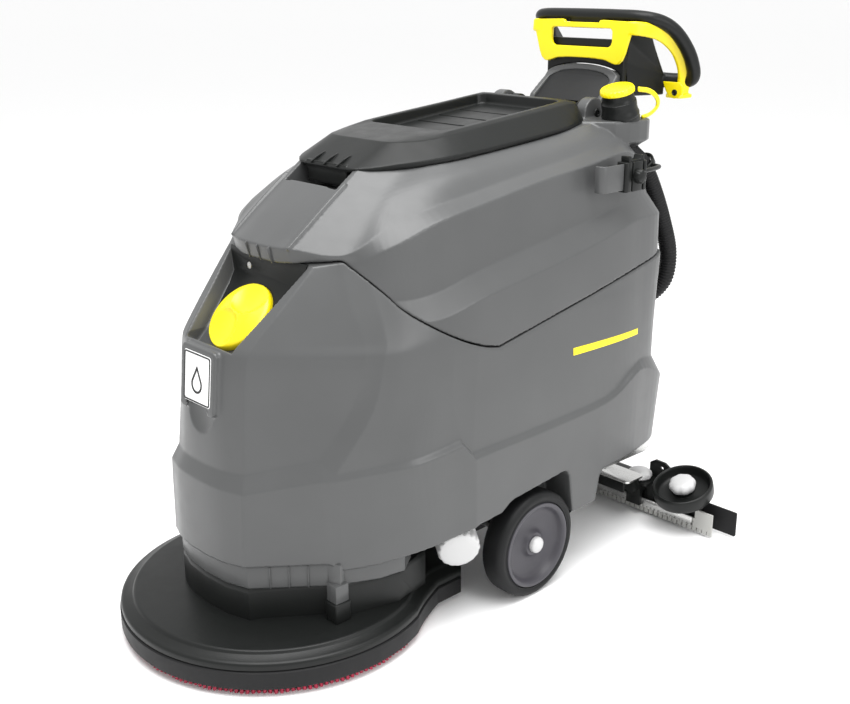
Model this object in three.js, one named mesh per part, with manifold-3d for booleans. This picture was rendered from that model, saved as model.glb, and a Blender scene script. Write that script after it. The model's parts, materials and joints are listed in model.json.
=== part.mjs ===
// Walk-behind floor scrubber machine with one disc brush, a tilting dirty-water tank
// and a suction squeegee. Millimetres, +Z up, -Y towards the brush, +X the machine's left side.
// The origin is on the floor under the middle of the machine.

import * as THREE from 'three';
import { mergeVertices } from 'three/addons/utils/BufferGeometryUtils.js';
import Module from 'manifold-3d';

const wasm = await Module();
wasm.setup();

// ---- driving dimensions ----
const GAP = 0.4; // clearance left between touching pieces
const SPLIT_GAP = 3; // visible joint between the two tanks

const DECK = { y: -310, skirtRadius: 274.5, innerRadius: 264, bottom: 14, rimTop: 60, plateTop: 70 };
const BRUSH = { radius: 255, plateTop: 44, plateBottom: 34, bristleInner: 150 };
const SPLIT = { frontY: -265, frontZ: 655, valleyY: -28, valleyZ: 490, rearY: 492, rearZ: 579 };
const HINGE = { y: 504, z: 577, pinRadius: 4 };
const WHEEL = { y: 55.5, z: 100, radius: 100, width: 50, outerX: 291.5, rimRadius: 81, axleRadius: 8 };
const LIFT_LEVER = { x: -124, y: 516, z: 420, pinRadius: 6 };
const CASTER = { x: 112, y: 322, wheelRadius: 36, wheelWidth: 28, trail: 22 };
const LID = { hingeY: 393, hingeZ: 836, rimZ: 790.6, slope: 0.0895 };
const SQUEEGEE = { pivotY: 236, pivotZ: 152, frontHalf: 394, rearHalf: 428, knobX: 208, rollerX: 322 };
const BATTERY = { halfWidth: 186, frontY: -92, rearY: 268, floor: 226 };
const FLANGE = { bottom: 128, top: 170.6, middleY: -300 };
const SHELF_TOP = 826;
const DRAIN = { x: 172, y: 398, hoseRadius: 18 };
const SUCTION_HOSE_RADIUS = 21;
const MIDDLE_Y = 28.2; // the middle of the machine lies this far behind the working origin
const HANDLE = { topZ: 1010, topY: 508, tube: 14, leverFront: 480, leverBack: 489 };

// ---- materials ----
const finish = (color, roughness, metalness = 0) =>
  new THREE.MeshStandardMaterial({ color, roughness, metalness });
const GREY = finish(0x7a7b7b, 0.45);
const DARK_GREY = finish(0x555657, 0.5);
const BLACK = finish(0x2c2d2d, 0.5);
const RUBBER = finish(0x242424, 0.8);
const YELLOW = finish(0xffec00, 0.4);
const WHITE = finish(0xe9e9e9, 0.35);
const RIM_GREY = finish(0x5c5a62, 0.5);
const STEEL = finish(0xb9bab8, 0.3, 1);
const RED = finish(0xc23a52, 0.7);
const CLEAR_GREY = finish(0xb4b4b0, 0.5);

// ---- solids: joining and cutting ----
const at = (x, y, z) => new THREE.Vector3(x, y, z);

function toSolid(geometry) {
  const bare = new THREE.BufferGeometry();
  bare.setAttribute('position', geometry.getAttribute('position').clone());
  if (geometry.index) bare.setIndex(geometry.index.clone());
  const merged = mergeVertices(bare, 1e-4);
  const corners = merged.index.array;
  const triangles = [];
  for (let i = 0; i < corners.length; i += 3) {
    const [a, b, c] = [corners[i], corners[i + 1], corners[i + 2]];
    if (a !== b && b !== c && c !== a) triangles.push(a, b, c);
  }
  return new wasm.Manifold(
    new wasm.Mesh({
      numProp: 3,
      vertProperties: new Float32Array(merged.getAttribute('position').array),
      triVerts: new Uint32Array(triangles),
    })
  );
}

function toGeometry(solid) {
  const { vertProperties, triVerts } = solid.getMesh();
  const geometry = new THREE.BufferGeometry();
  geometry.setAttribute('position', new THREE.BufferAttribute(new Float32Array(vertProperties), 3));
  geometry.setIndex(new THREE.BufferAttribute(new Uint32Array(triVerts), 1));
  return geometry;
}

const join = (...pieces) => toGeometry(pieces.map(toSolid).reduce((a, b) => a.add(b)));
const cut = (base, ...tools) =>
  toGeometry(tools.map(toSolid).reduce((a, b) => a.subtract(b), toSolid(base)));
const common = (a, b) => toGeometry(toSolid(a).intersect(toSolid(b)));

// ---- basic shapes ----
function block([x0, x1], [y0, y1], [z0, z1]) {
  return new THREE.BoxGeometry(x1 - x0, y1 - y0, z1 - z0)
    .translate((x0 + x1) / 2, (y0 + y1) / 2, (z0 + z1) / 2);
}

// A cylinder between two points.
function rod(from, to, radius, segments = 12) {
  const direction = to.clone().sub(from);
  const geometry = new THREE.CylinderGeometry(radius, radius, direction.length(), segments);
  geometry.applyQuaternion(new THREE.Quaternion().setFromUnitVectors(at(0, 1, 0), direction.normalize()));
  const middle = from.clone().add(to).multiplyScalar(0.5);
  return geometry.translate(middle.x, middle.y, middle.z);
}

// A solid turned about an axis through centre; the profile is a list of [radius, height].
function turned(profile, centre, axis = at(0, 0, 1), segments = 20) {
  const points = profile.map(([r, h]) => new THREE.Vector2(r, h));
  const geometry = new THREE.LatheGeometry(points, segments);
  geometry.applyQuaternion(new THREE.Quaternion().setFromUnitVectors(at(0, 1, 0), axis.clone().normalize()));
  return geometry.translate(centre.x, centre.y, centre.z);
}

// An outline of [y, z] points pushed out along X.
function sidePrism(outline, x0, x1) {
  const geometry = new THREE.ExtrudeGeometry(
    new THREE.Shape(outline.map(([y, z]) => new THREE.Vector2(y, z))),
    { depth: x1 - x0, bevelEnabled: false }
  );
  geometry.applyMatrix4(new THREE.Matrix4().makeBasis(at(0, 1, 0), at(0, 0, 1), at(1, 0, 0)));
  return geometry.translate(x0, 0, 0);
}

// A THREE.Shape of (x, y) pushed up along Z.
function planPrism(shape, z0, z1, curveSegments = 4) {
  return new THREE.ExtrudeGeometry(shape, { depth: z1 - z0, bevelEnabled: false, curveSegments })
    .translate(0, 0, z0);
}

// A THREE.Shape of (x, z) pushed along Y.
function frontPrism(shape, y0, y1, curveSegments = 4) {
  const geometry = new THREE.ExtrudeGeometry(shape, { depth: y1 - y0, bevelEnabled: false, curveSegments });
  geometry.applyMatrix4(new THREE.Matrix4().makeBasis(at(1, 0, 0), at(0, 0, 1), at(0, -1, 0)));
  return geometry.translate(0, y1, 0);
}

const polygon = (points) => new THREE.Shape(points.map(([a, b]) => new THREE.Vector2(a, b)));

function roundedBox(x0, x1, y0, y1, radius) {
  const shape = new THREE.Shape();
  shape.moveTo(x0 + radius, y0);
  shape.lineTo(x1 - radius, y0);
  shape.absarc(x1 - radius, y0 + radius, radius, -Math.PI / 2, 0);
  shape.lineTo(x1, y1 - radius);
  shape.absarc(x1 - radius, y1 - radius, radius, 0, Math.PI / 2);
  shape.lineTo(x0 + radius, y1);
  shape.absarc(x0 + radius, y1 - radius, radius, Math.PI / 2, Math.PI);
  shape.lineTo(x0, y0 + radius);
  shape.absarc(x0 + radius, y0 + radius, radius, Math.PI, Math.PI * 1.5);
  return shape;
}

// A round tube along a smooth curve through the points.
function tube(points, radius, sides = 10, steps = 24, closed = false) {
  const section = new THREE.Shape();
  section.absarc(0, 0, radius, 0, Math.PI * 2);
  return new THREE.ExtrudeGeometry(section, {
    steps,
    curveSegments: sides / 2,
    bevelEnabled: false,
    extrudePath: new THREE.CatmullRomCurve3(points, closed),
  });
}

// A closed ring from the half outline that runs from the nose (x = 0) back to the tail (x = 0).
function mirroredRing(half) {
  const right = half.map(([x, y, z]) => at(x, y, z));
  const left = half.slice(1, -1).reverse().map(([x, y, z]) => at(-x, y, z));
  return [...right, ...left];
}

// A skin through rings with equal numbers of points, lowest ring first, closed by a fan at each end.
function loft(rings) {
  const count = rings[0].length;
  const points = rings.flat();
  const centre = (ring) => ring.reduce((sum, p) => sum.add(p), at(0, 0, 0)).divideScalar(count);
  const bottom = points.push(centre(rings[0])) - 1;
  const top = points.push(centre(rings[rings.length - 1])) - 1;
  const faces = [];
  for (let j = 0; j < count; j++) {
    const next = (j + 1) % count;
    for (let i = 0; i + 1 < rings.length; i++) {
      const [a, b, c, d] = [i * count + j, i * count + next, (i + 1) * count + next, (i + 1) * count + j];
      faces.push(a, b, c, a, c, d);
    }
    const last = (rings.length - 1) * count;
    faces.push(bottom, next, j, top, last + j, last + next);
  }
  const geometry = new THREE.BufferGeometry();
  geometry.setAttribute('position', new THREE.Float32BufferAttribute(points.flatMap((p) => p.toArray()), 3));
  geometry.setIndex(faces);
  return geometry;
}

// ---- the two tank shells ----
// Each half outline has the same stations: nose centre, nose quarter, front corner, end of cheek, step,
// shoulder, side front, ahead of the wheel, behind the wheel, side rear, start, middle and end of the
// rear corner, tail centre.
const LOWER_SHELL = [
  [[0, -468, 171], [56, -464, 171], [102, -449, 171], [186, -345, 171], [200, -324, 156], [228, -271, 160],
    [268, -174, 176], [285, -99, 187], [285, 150, 131], [284, 265, 131], [272, 372, 131],
    [244, 452, 131], [180, 470, 131], [0, 476, 131]],
  [[0, -464, 300], [56, -460, 300], [104, -446, 300], [174, -346, 304], [186, -318, 308], [234, -255, 322],
    [270, -179, 285], [285, -103, 316], [285, 150, 320], [284, 265, 330], [272, 380, 326],
    [244, 480, 311], [180, 496, 311], [0, 502, 311]],
  [[0, -453, 327], [52, -449, 327], [95, -435, 327], [157, -346, 338], [190, -330, 331], [238, -254, 332],
    [270, -128, 352], [281, -103, 323], [281, 150, 327], [280, 265, 337], [267, 350, 368],
    [240, 444, 366], [182, 462, 366], [0, 468, 366]],
  [[0, -446, 430], [50, -442, 430], [92, -425, 430], [164, -338, 430], [203, -300, 430], [240, -240, 430],
    [264, -150, 430], [272, -80, 430], [274, 120, 430], [272, 265, 430], [262, 350, 430],
    [240, 447, 430], [182, 466, 430], [0, 472, 430]],
  [[0, -436, 515], [50, -432, 515], [92, -416, 515], [156, -345, 515], [198, -290, 515], [234, -235, 515],
    [256, -150, 515], [265, -80, 515], [268, 120, 515], [266, 265, 515], [258, 355, 515],
    [240, 452, 515], [184, 474, 515], [0, 481, 515]],
  [[0, -422, 535], [50, -419, 535], [93, -403, 535], [150, -342, 535], [190, -288, 535], [228, -230, 535],
    [252, -148, 535], [262, -80, 535], [266, 120, 535], [264, 265, 535], [257, 357, 535],
    [240, 454, 535], [184, 477, 535], [0, 484, 535]],
  [[0, -352, 600], [50, -352, 600], [108, -344, 600], [146, -318, 600], [174, -272, 600], [206, -222, 600],
    [236, -144, 600], [252, -80, 600], [260, 120, 600], [260, 265, 600], [255, 360, 600],
    [239, 460, 600], [186, 482, 600], [0, 490, 600]],
  [[0, -290, 662], [50, -290, 662], [118, -286, 662], [144, -268, 662], [160, -246, 662], [178, -215, 662],
    [214, -140, 662], [240, -80, 662], [252, 120, 662], [254, 265, 662], [250, 360, 662],
    [235, 446, 662], [186, 470, 662], [0, 478, 662]],
];

const UPPER_SHELL = [
  [[0, -300, 440], [60, -300, 440], [120, -290, 440], [178, -268, 440], [210, -250, 440], [236, -232, 440],
    [256, -150, 440], [266, -80, 440], [270, 120, 440], [268, 265, 440], [260, 355, 440],
    [240, 450, 440], [184, 470, 440], [0, 478, 440]],
  [[0, -300, 560], [60, -300, 560], [118, -290, 560], [176, -262, 560], [206, -236, 560], [230, -205, 560],
    [252, -140, 560], [262, -76, 560], [266, 120, 560], [264, 265, 560], [257, 356, 560],
    [240, 457, 560], [186, 481, 560], [0, 489, 560]],
  [[0, -328, 648], [42, -326, 648], [78, -318, 648], [148, -264, 652], [176, -232, 640], [206, -186, 622],
    [240, -128, 592], [255, -70, 600], [258, 120, 622], [257, 265, 646], [252, 356, 662],
    [236, 446, 640], [186, 470, 640], [0, 478, 640]],
  [[0, -330, 671], [42, -328, 671], [76, -318, 671], [148, -266, 664], [180, -212, 668], [212, -150, 672],
    [232, -110, 664], [242, -60, 660], [250, 120, 672], [250, 265, 684], [246, 350, 690],
    [230, 424, 690], [186, 438, 690], [0, 446, 690]],
  [[0, -296, 699], [42, -295, 699], [78, -288, 699], [132, -240, 700], [172, -196, 706], [206, -140, 712],
    [226, -96, 712], [236, -40, 716], [240, 120, 734], [238, 265, 752], [232, 330, 756],
    [222, 392, 740], [184, 406, 740], [0, 414, 740]],
  [[0, -206, 758], [42, -206, 758], [78, -202, 758], [112, -176, 756], [146, -140, 756], [176, -100, 758],
    [196, -60, 762], [204, -20, 766], [210, 120, 780], [208, 265, 797], [206, 320, 802],
    [200, 352, 800], [172, 368, 800], [0, 376, 800]],
  [[0, -166, 781], [42, -166, 781], [74, -160, 779], [100, -136, 778], [120, -100, 780], [138, -60, 784],
    [146, -20, 787], [150, 20, 790], [152, 120, 799], [154, 265, 815], [170, 312, 824],
    [180, 340, 826], [160, 356, 826], [0, 364, 826]],
];

// Everything above the V-shaped line between the tanks, seen from the side.
function aboveSplit(lift) {
  return sidePrism(
    [
      [SPLIT.frontY - 600, SPLIT.frontZ - 36 + lift],
      [SPLIT.frontY, SPLIT.frontZ + lift],
      [SPLIT.valleyY - 100, SPLIT.valleyZ + 33 + lift],
      [SPLIT.valleyY, SPLIT.valleyZ + lift],
      [SPLIT.rearY, SPLIT.rearZ + lift],
      [SPLIT.rearY + 300, SPLIT.rearZ + 50 + lift],
      [SPLIT.rearY + 300, 1200],
      [SPLIT.frontY - 600, 1200],
    ],
    -400,
    400
  );
}

const FILL_AXIS = at(0, -1, 1).normalize();
const onFillAxis = (distance) => at(0, -353, 547).addScaledVector(FILL_AXIS, distance);

// The hollow in the sloping nose that holds the fill cap: narrow at the bottom, wide at the top.
function fillRecess() {
  const opening = polygon([[-64, 480], [64, 480], [64, 534], [102, 641], [102, 700], [-102, 700],
    [-102, 641], [-64, 534]]);
  const aboveFloor = [[-480, 570], [-422, 530], [-400, 500], [-310, 590], [-292, 610], [-292, 700],
    [-480, 700]];
  return common(frontPrism(opening, -520, -250), sidePrism(aboveFloor, -120, 120));
}

function lowerTank() {
  const archOutline = [[-99, 100], [-99, 188], [-30, 193], [-13, 208], [134, 221], [143, 216], [171, 100]];
  const underRear = sidePrism([[214, 100], [240, 185], [262, 190], [600, 190], [600, 100]], -400, 400);
  const waterSpace = block([-96, 96], [-384, -130], [214, 500]);
  return cut(
    join(loft(LOWER_SHELL.map(mirroredRing)), badgePad(), leverLug(-19), leverLug(19)),
    aboveSplit(0),
    sidePrism(archOutline, 222, 400),
    sidePrism(archOutline, -400, -222),
    underRear,
    fillRecess(),
    block([-BATTERY.halfWidth, BATTERY.halfWidth], [BATTERY.frontY, BATTERY.rearY], [BATTERY.floor, 700]),
    waterSpace,
    rod(onFillAxis(-150), onFillAxis(60), 30, 16),
    block([-104, 104], [-404, -170], [120, 200]),
    block([-222, 222], [-165, 380], [100, 200]),
    flangeSolid(90, FLANGE.top + GAP, 1.004),
    filterSocket(GAP),
    rod(onFilterAxis(-1), onFilterAxis(60), 40, 16),
    leverPin(LIFT_LEVER.pinRadius + GAP, 40)
  );
}

// The grey lip under the front of the shell, seen from above. It grows a little for the cut it sits in.
const FLANGE_OUTLINE = [[0, -458], [54, -454], [98, -440], [180, -340], [203, -332], [196, -316], [222, -262],
  [230, -215], [205, -178], [0, -178]];

function flangeSolid(bottom, top, growth) {
  const ring = (z) => mirroredRing(FLANGE_OUTLINE.map(([x, y]) =>
    [x * growth, FLANGE.middleY + (y - FLANGE.middleY) * growth, z]));
  return loft([ring(bottom), ring(top)]);
}

const flangeFoot = (side, extra) => {
  const x = side > 0 ? [182 - extra, 206 + extra] : [-206 - extra, -182 + extra];
  return block(x, [-344 - extra, -318 + extra], [104 - extra, FLANGE.bottom + 4]);
};

function baseFlange() {
  const hollow = block([-104, 104], [-404, -190], [100, 200]);
  const lip = cut(flangeSolid(FLANGE.bottom, FLANGE.top, 1), hollow);
  return cut(join(lip, flangeFoot(1, 0), flangeFoot(-1, 0)), filterSocket(GAP));
}

// The black tower that carries the shell on the brush deck.
function deckTower() {
  const outline = [[0, -462], [54, -458], [100, -443], [108, -424], [173, -337], [200, -320], [228, -222],
    [204, -140], [0, -128]];
  const ring = (z) => mirroredRing(outline.map(([x, y]) => [x * 0.985, y * 0.99, z]));
  const motorRoom = block([-104, 104], [-404, -165], [DECK.plateTop, 200]);
  return cut(loft([ring(DECK.plateTop - 4), ring(127.6)]), motorRoom);
}

// The keyhole outline of the deck: a circle whose tail necks in and runs back between the wheels.
function deckOutline(radius, tailHalf) {
  const shape = new THREE.Shape();
  const leave = Math.asin(tailHalf / radius) + 0.32;
  const from = Math.PI / 2 - leave;
  const [x, y] = [radius * Math.cos(from), DECK.y + radius * Math.sin(from)];
  shape.absarc(0, DECK.y, radius, Math.PI - from, Math.PI * 2 + from, false);
  shape.quadraticCurveTo(x - 24, y + 36, tailHalf, y + 92);
  shape.lineTo(tailHalf, -48);
  shape.lineTo(-tailHalf, -48);
  shape.lineTo(-tailHalf, y + 92);
  shape.quadraticCurveTo(-x + 24, y + 36, -x, y);
  return shape;
}

function brushDeck() {
  const rim = planPrism(deckOutline(DECK.skirtRadius - 2, 206), DECK.rimTop - 14, DECK.rimTop, 12);
  const plate = planPrism(deckOutline(DECK.innerRadius, 197), DECK.rimTop - 14, DECK.plateTop, 12);
  const shaftHole = rod(at(0, DECK.y, 0), at(0, DECK.y, 100), 24, 16);
  return cut(join(rim, plate, deckTower()), shaftHole, filterSocket(GAP),
    flangeFoot(1, GAP), flangeFoot(-1, GAP));
}

function splashSkirt() {
  const outer = planPrism(deckOutline(DECK.skirtRadius, 208), DECK.bottom, DECK.rimTop - 14 - GAP, 12);
  return cut(outer, planPrism(deckOutline(DECK.skirtRadius - 8, 200), 0, 80, 12));
}

// The frame under the tanks: a plate with an arm to each wheel and a pad over each caster.
function chassisFrame() {
  const plate = planPrism(roundedBox(-152, 152, -120, 360, 20), 187.6, 199.6);
  const upright = (side, from, to, radius) =>
    rod(at(side * CASTER.x, CASTER.y, from), at(side * CASTER.x, CASTER.y, to), radius, 16);
  const casterPad = (side) => upright(side, 104, 190, 26);
  const hanger = (x) => block([x - 5, x + 5], [WHEEL.y - 40, WHEEL.y + 40], [78, 190]);
  const axleHole = rod(at(-400, WHEEL.y, WHEEL.z), at(400, WHEEL.y, WHEEL.z), WHEEL.axleRadius + GAP, 16);
  const pivotLug = (x) => block([x - 6, x + 6], [SQUEEGEE.pivotY - 18, SQUEEGEE.pivotY + 18], [134, 190]);
  const pivotHole = spindle(200, 6.4);
  const stemHole = (side) => upright(side, 90, 170, 8.5);
  return cut(
    join(plate, casterPad(1), casterPad(-1), hanger(140), hanger(-140), pivotLug(52), pivotLug(-52),
      block([-60, 60], [-128, -100], [150, 190])),
    axleHole, pivotHole, stemHole(1), stemHole(-1)
  );
}

// A rod on the axis that the squeegee swings about.
function spindle(half, radius, segments) {
  const { pivotY, pivotZ } = SQUEEGEE;
  return rod(at(-half, pivotY, pivotZ), at(half, pivotY, pivotZ), radius, segments);
}

function brushMotor() {
  const centre = at(0, DECK.y, 0);
  return turned([[0, 70.4], [70, 70.4], [78, 80], [78, 150], [70, 160], [60, 187], [0, 187]], centre);
}

function brushPlate() {
  const { radius, plateTop, plateBottom } = BRUSH;
  return turned([[0, plateBottom], [radius - 6, plateBottom], [radius, plateTop], [22, plateTop],
    [20, 70], [0, 70]], at(0, DECK.y, 0), undefined, 36);
}

function bristleRing() {
  const { radius, plateBottom, bristleInner } = BRUSH;
  const top = plateBottom - GAP;
  const profile = [[bristleInner, top], [bristleInner - 6, 0], [radius + 6, 0], [radius - 4, top],
    [bristleInner, top]];
  return turned(profile, at(0, DECK.y, 0), undefined, 36);
}

function battery(side) {
  const near = side > 0 ? [4, BATTERY.halfWidth - 6] : [6 - BATTERY.halfWidth, -4];
  const middle = (near[0] + near[1]) / 2;
  const box = block(near, [BATTERY.frontY + 6, BATTERY.rearY - 6], [BATTERY.floor + GAP, 440]);
  const lid = block([near[0] + 4, near[1] - 4], [BATTERY.frontY + 12, BATTERY.rearY - 12], [440, 456]);
  const post = (y) => rod(at(middle, y, 450), at(middle, y, 474), 9, 12);
  return join(box, lid, post(0), post(180));
}

// ---- running gear ----
const outward = (side) => at(side, 0, 0);
const WHEEL_CENTRE = at(0, WHEEL.y, WHEEL.z);

function wheelTyre(side) {
  const { radius, width, outerX, rimRadius } = WHEEL;
  const [inner, outer] = [outerX - width, outerX];
  const seat = rimRadius + GAP;
  const profile = [[seat, inner + 3], [radius - 6, inner], [radius, inner + 8], [radius, outer - 9],
    [radius - 3, outer - 3], [radius - 8, outer], [seat, outer - 2], [seat, inner + 3]];
  return turned(profile, WHEEL_CENTRE, outward(side), 32);
}

function wheelRim(side) {
  const { width, outerX, rimRadius, axleRadius } = WHEEL;
  const [inner, outer] = [outerX - width, outerX];
  const bore = axleRadius + GAP;
  const profile = [[bore, inner - 6], [34, inner - 6], [36, inner + 6], [rimRadius, inner + 4],
    [rimRadius, outer - 2], [rimRadius - 9, outer], [rimRadius - 14, outer - 8], [46, outer - 20],
    [24, outer - 12], [22, outer - 8], [bore, outer - 8], [bore, inner - 6]];
  return turned(profile, WHEEL_CENTRE, outward(side), 24);
}

function wheelCap(side) {
  const base = WHEEL.outerX - 8 + GAP;
  return turned([[0, base], [15, base], [15, base + 6], [12, base + 10], [0, base + 12]],
    WHEEL_CENTRE, outward(side), 20);
}

function wheelAxle() {
  const end = WHEEL.outerX - 9;
  return rod(at(-end, WHEEL.y, WHEEL.z), at(end, WHEEL.y, WHEEL.z), WHEEL.axleRadius, 16);
}

function casterFork(side) {
  const x = side * CASTER.x;
  const axleY = CASTER.y + CASTER.trail;
  const outline = [[CASTER.y - 18, 92], [CASTER.y + 16, 92], [axleY + 10, CASTER.wheelRadius + 6],
    [axleY + 6, CASTER.wheelRadius - 10], [axleY - 8, CASTER.wheelRadius - 10],
    [axleY - 12, CASTER.wheelRadius + 6]];
  const cheek = (offset) => sidePrism(outline, x + offset - 2, x + offset + 2);
  const crown = block([x - 20, x + 20], [CASTER.y - 20, CASTER.y + 20], [90, 102]);
  const stem = rod(at(x, CASTER.y, 98), at(x, CASTER.y, 160), 8);
  const axle = rod(at(x - 20, axleY, CASTER.wheelRadius), at(x + 20, axleY, CASTER.wheelRadius), 4, 12);
  return join(crown, stem, cheek(18), cheek(-18), axle);
}

function casterWheel(side) {
  const [r, half] = [CASTER.wheelRadius, CASTER.wheelWidth / 2];
  const profile = [[4.4, -half], [r - 4, -half], [r, -half + 5], [r, half - 5], [r - 4, half], [4.4, half],
    [4.4, -half]];
  return turned(profile, at(side * CASTER.x, CASTER.y + CASTER.trail, r), at(1, 0, 0), 20);
}

// ---- drain filter on the machine's left side ----
const FILTER_AXIS = at(0.82, -0.5, -0.28).normalize();
const onFilterAxis = (distance) => at(230, -97, 152).addScaledVector(FILTER_AXIS, distance);

const filterSocket = (extra) => rod(onFilterAxis(-60), onFilterAxis(0.2), 31 + extra);

function filterHousing() {
  return cut(rod(onFilterAxis(-48), onFilterAxis(-0.4), 30), rod(onFilterAxis(-40), onFilterAxis(10), 24));
}

function filterCap() {
  return turned([[0, 0], [35, 0], [38, 3], [38, 29], [32, 38], [0, 40]], onFilterAxis(0), FILTER_AXIS, 24);
}

// ---- fill point in the nose ----
function fillCap() {
  const dome = turned([[0, 0.4], [58, 0.4], [62, 5], [62, 16], [54, 26], [32, 33], [0, 35]],
    onFillAxis(0), FILL_AXIS, 32);
  const plug = rod(onFillAxis(-5), onFillAxis(2), 28, 16);
  return join(dome, plug);
}

function recessPanel() {
  const outline = polygon([[-86, 612], [86, 612], [96, 641], [-96, 641]]);
  return cut(frontPrism(outline, -302, -292.5), rod(at(-24, -320, 626), at(-24, -280, 626), 6));
}

function badgePlate() {
  const plate = frontPrism(roundedBox(-38, 38, 428, 512, 4), -452, -449);
  return plate.applyMatrix4(
    new THREE.Matrix4().makeTranslation(0, -448, 470)
      .multiply(new THREE.Matrix4().makeRotationX(-0.1))
      .multiply(new THREE.Matrix4().makeTranslation(0, 448, -470))
  );
}

function badgePad() {
  const pad = frontPrism(roundedBox(-48, 48, 418, 522, 8), -448.6, -425);
  return pad.applyMatrix4(
    new THREE.Matrix4().makeTranslation(0, -448, 470)
      .multiply(new THREE.Matrix4().makeRotationX(-0.1))
      .multiply(new THREE.Matrix4().makeTranslation(0, 448, -470))
  );
}

// ---- upper body: dirty-water tank and what it carries ----
function recoveryTank() {
  const shell = common(loft(UPPER_SHELL.map(mirroredRing)), aboveSplit(SPLIT_GAP));
  const shelf = planPrism(roundedBox(-206, 206, 352, 462, 26), 790, 826);
  const ear = (x) =>
    cut(
      join(block([x - 7, x + 7], [376, 420], [815, LID.hingeZ]),
        rod(at(x - 7, LID.hingeY, LID.hingeZ), at(x + 7, LID.hingeY, LID.hingeZ), 24, 16)),
      rod(at(x - 20, LID.hingeY, LID.hingeZ), at(x + 20, LID.hingeY, LID.hingeZ), 5.4)
    );
  const tankSpace = sidePrism([[-140, 690], [-36, 545], [330, 616], [330, 700], [312, 900], [-96, 900]],
    -124, 124);
  const gripPocket = sidePrism([[-208, 790], [-208, 744], [-150, 744], [-120, 790]], -66, 66);
  const knuckle = (side) => join(
    block(side > 0 ? [34, 62] : [-62, -34], [470, HINGE.y], [HINGE.z + 6, HINGE.z + 24]),
    rod(at(side * 34, HINGE.y, HINGE.z), at(side * 62, HINGE.y, HINGE.z), 11));
  const railPad = block([222, 246], [236, 348], [720, 760]);
  return cut(
    join(shell, shelf, ear(109), ear(-109), knuckle(1), knuckle(-1), railPad),
    tankSpace,
    gripPocket,
    lidSeat(),
    knuckleRoom(1),
    knuckleRoom(-1),
    rod(at(-200, HINGE.y, HINGE.z), at(200, HINGE.y, HINGE.z), HINGE.pinRadius + GAP),
    rod(at(DRAIN.x, DRAIN.y, 780), at(DRAIN.x, DRAIN.y, 822), 22)
  );
}

const knuckleRoom = (side) => join(
  rod(at(side * 76, LID.hingeY, LID.hingeZ), at(side * 101, LID.hingeY, LID.hingeZ), 24, 16),
  block(side > 0 ? [76, 101] : [-101, -76], [318, LID.hingeY], [LID.hingeZ - 13, LID.hingeZ + 20]));

// The space that the lid sits in: its outline grown a little, above the sloping rim.
function lidSeat() {
  const rimHeight = (y) => LID.rimZ + LID.slope * y - SPLIT_GAP;
  const [front, rear] = [-240, 349];
  const above = sidePrism([[front, rimHeight(front)], [rear, rimHeight(rear)], [rear, 900], [front, 900]],
    -200, 200);
  const outline = LID_OUTLINE.map(([x, y]) => [x === 0 ? 0 : x + 4, y < 0 ? y - 4 : y + 4]);
  const footprint = loft([700, 900].map((z) => mirroredRing(outline.map(([x, y]) => [x, y, z]))));
  return common(above, footprint);
}

function tankHinge() {
  const bracket = (x) => join(block([x - 20, x + 20], [503, 512], [540, HINGE.z]),
    rod(at(x - 20, HINGE.y, HINGE.z), at(x + 20, HINGE.y, HINGE.z), 9));
  const pin = rod(at(-112, HINGE.y, HINGE.z), at(112, HINGE.y, HINGE.z), HINGE.pinRadius);
  return join(bracket(84), bracket(-84), pin, block([-104, 104], [486, 512], [536, 550]));
}

const DRAIN_AXIS = at(0, -0.3, 1).normalize();
const onDrainAxis = (distance) => at(DRAIN.x, DRAIN.y, 826.4).addScaledVector(DRAIN_AXIS, distance);

function drainNeck() {
  const profile = [[0, 0], [30, 0], [34, 6], [33, 30], [29, 41.6], [0, 41.6]];
  const body = turned(profile, onDrainAxis(10), DRAIN_AXIS, 16);
  const foot = rod(at(DRAIN.x, DRAIN.y, 826.4), at(DRAIN.x, DRAIN.y - 3, 842), 32, 16);
  return cut(join(body, foot), rod(onDrainAxis(-30), onDrainAxis(70), 20),
    block([DRAIN.x - 60, DRAIN.x + 60], [DRAIN.y - 60, DRAIN.y + 60], [780, SHELF_TOP + GAP]));
}

function drainCap() {
  return join(turned([[0, 0.4], [31, 0.4], [33, 3], [31, 10], [0, 13]], onDrainAxis(52), DRAIN_AXIS, 24),
    rod(onDrainAxis(40), onDrainAxis(54), 19));
}

function capStrap() {
  return tube([at(200, 408, 884), at(212, 428, 880), at(214, 450, 866), at(210, 458, 850), at(203, 446, 836),
    at(196, 430, 830.5)], 3.5, 8, 12);
}

const DRAIN_HOSE_ROUTE = [
  at(184, 408, 788.6), at(184, 409, 772), at(187, 452, 738), at(188, 488, 690), at(188, 532, 612),
  at(188, 558, 545), at(180, 560, 488), at(150, 548, 450), at(100, 540, 436), at(50, 536, 452),
  at(14, 532, 496), at(0, 530, 550), at(0, 528, 600), at(0, 508, 636), at(0, 486, 642),
];

const drainHose = () => tube(DRAIN_HOSE_ROUTE, DRAIN.hoseRadius, 8, 32);

function hoseClip() {
  const axis = at(0.01, 0.62, -0.8).normalize();
  const centre = at(187, 452, 739);
  const band = turned([[21, -6], [24, -6], [24, 6], [21, 6], [21, -6]], centre, axis, 16);
  const arm = tube([at(256, 353, 742), at(252, 392, 742), at(238, 436, 741), at(210, 452, 739)], 4, 6, 6);
  return join(band, arm);
}

const accessoryRail = () => planPrism(roundedBox(246.4, 266, 232, 290, 6), 716, 764);

function railClamp() {
  const jaw = planPrism(roundedBox(246.4, 274, 290.4, 352.6, 5), 712, 766);
  const screw = rod(at(266, 322, 740), at(285, 322, 740), 13);
  return join(jaw, screw);
}

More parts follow.
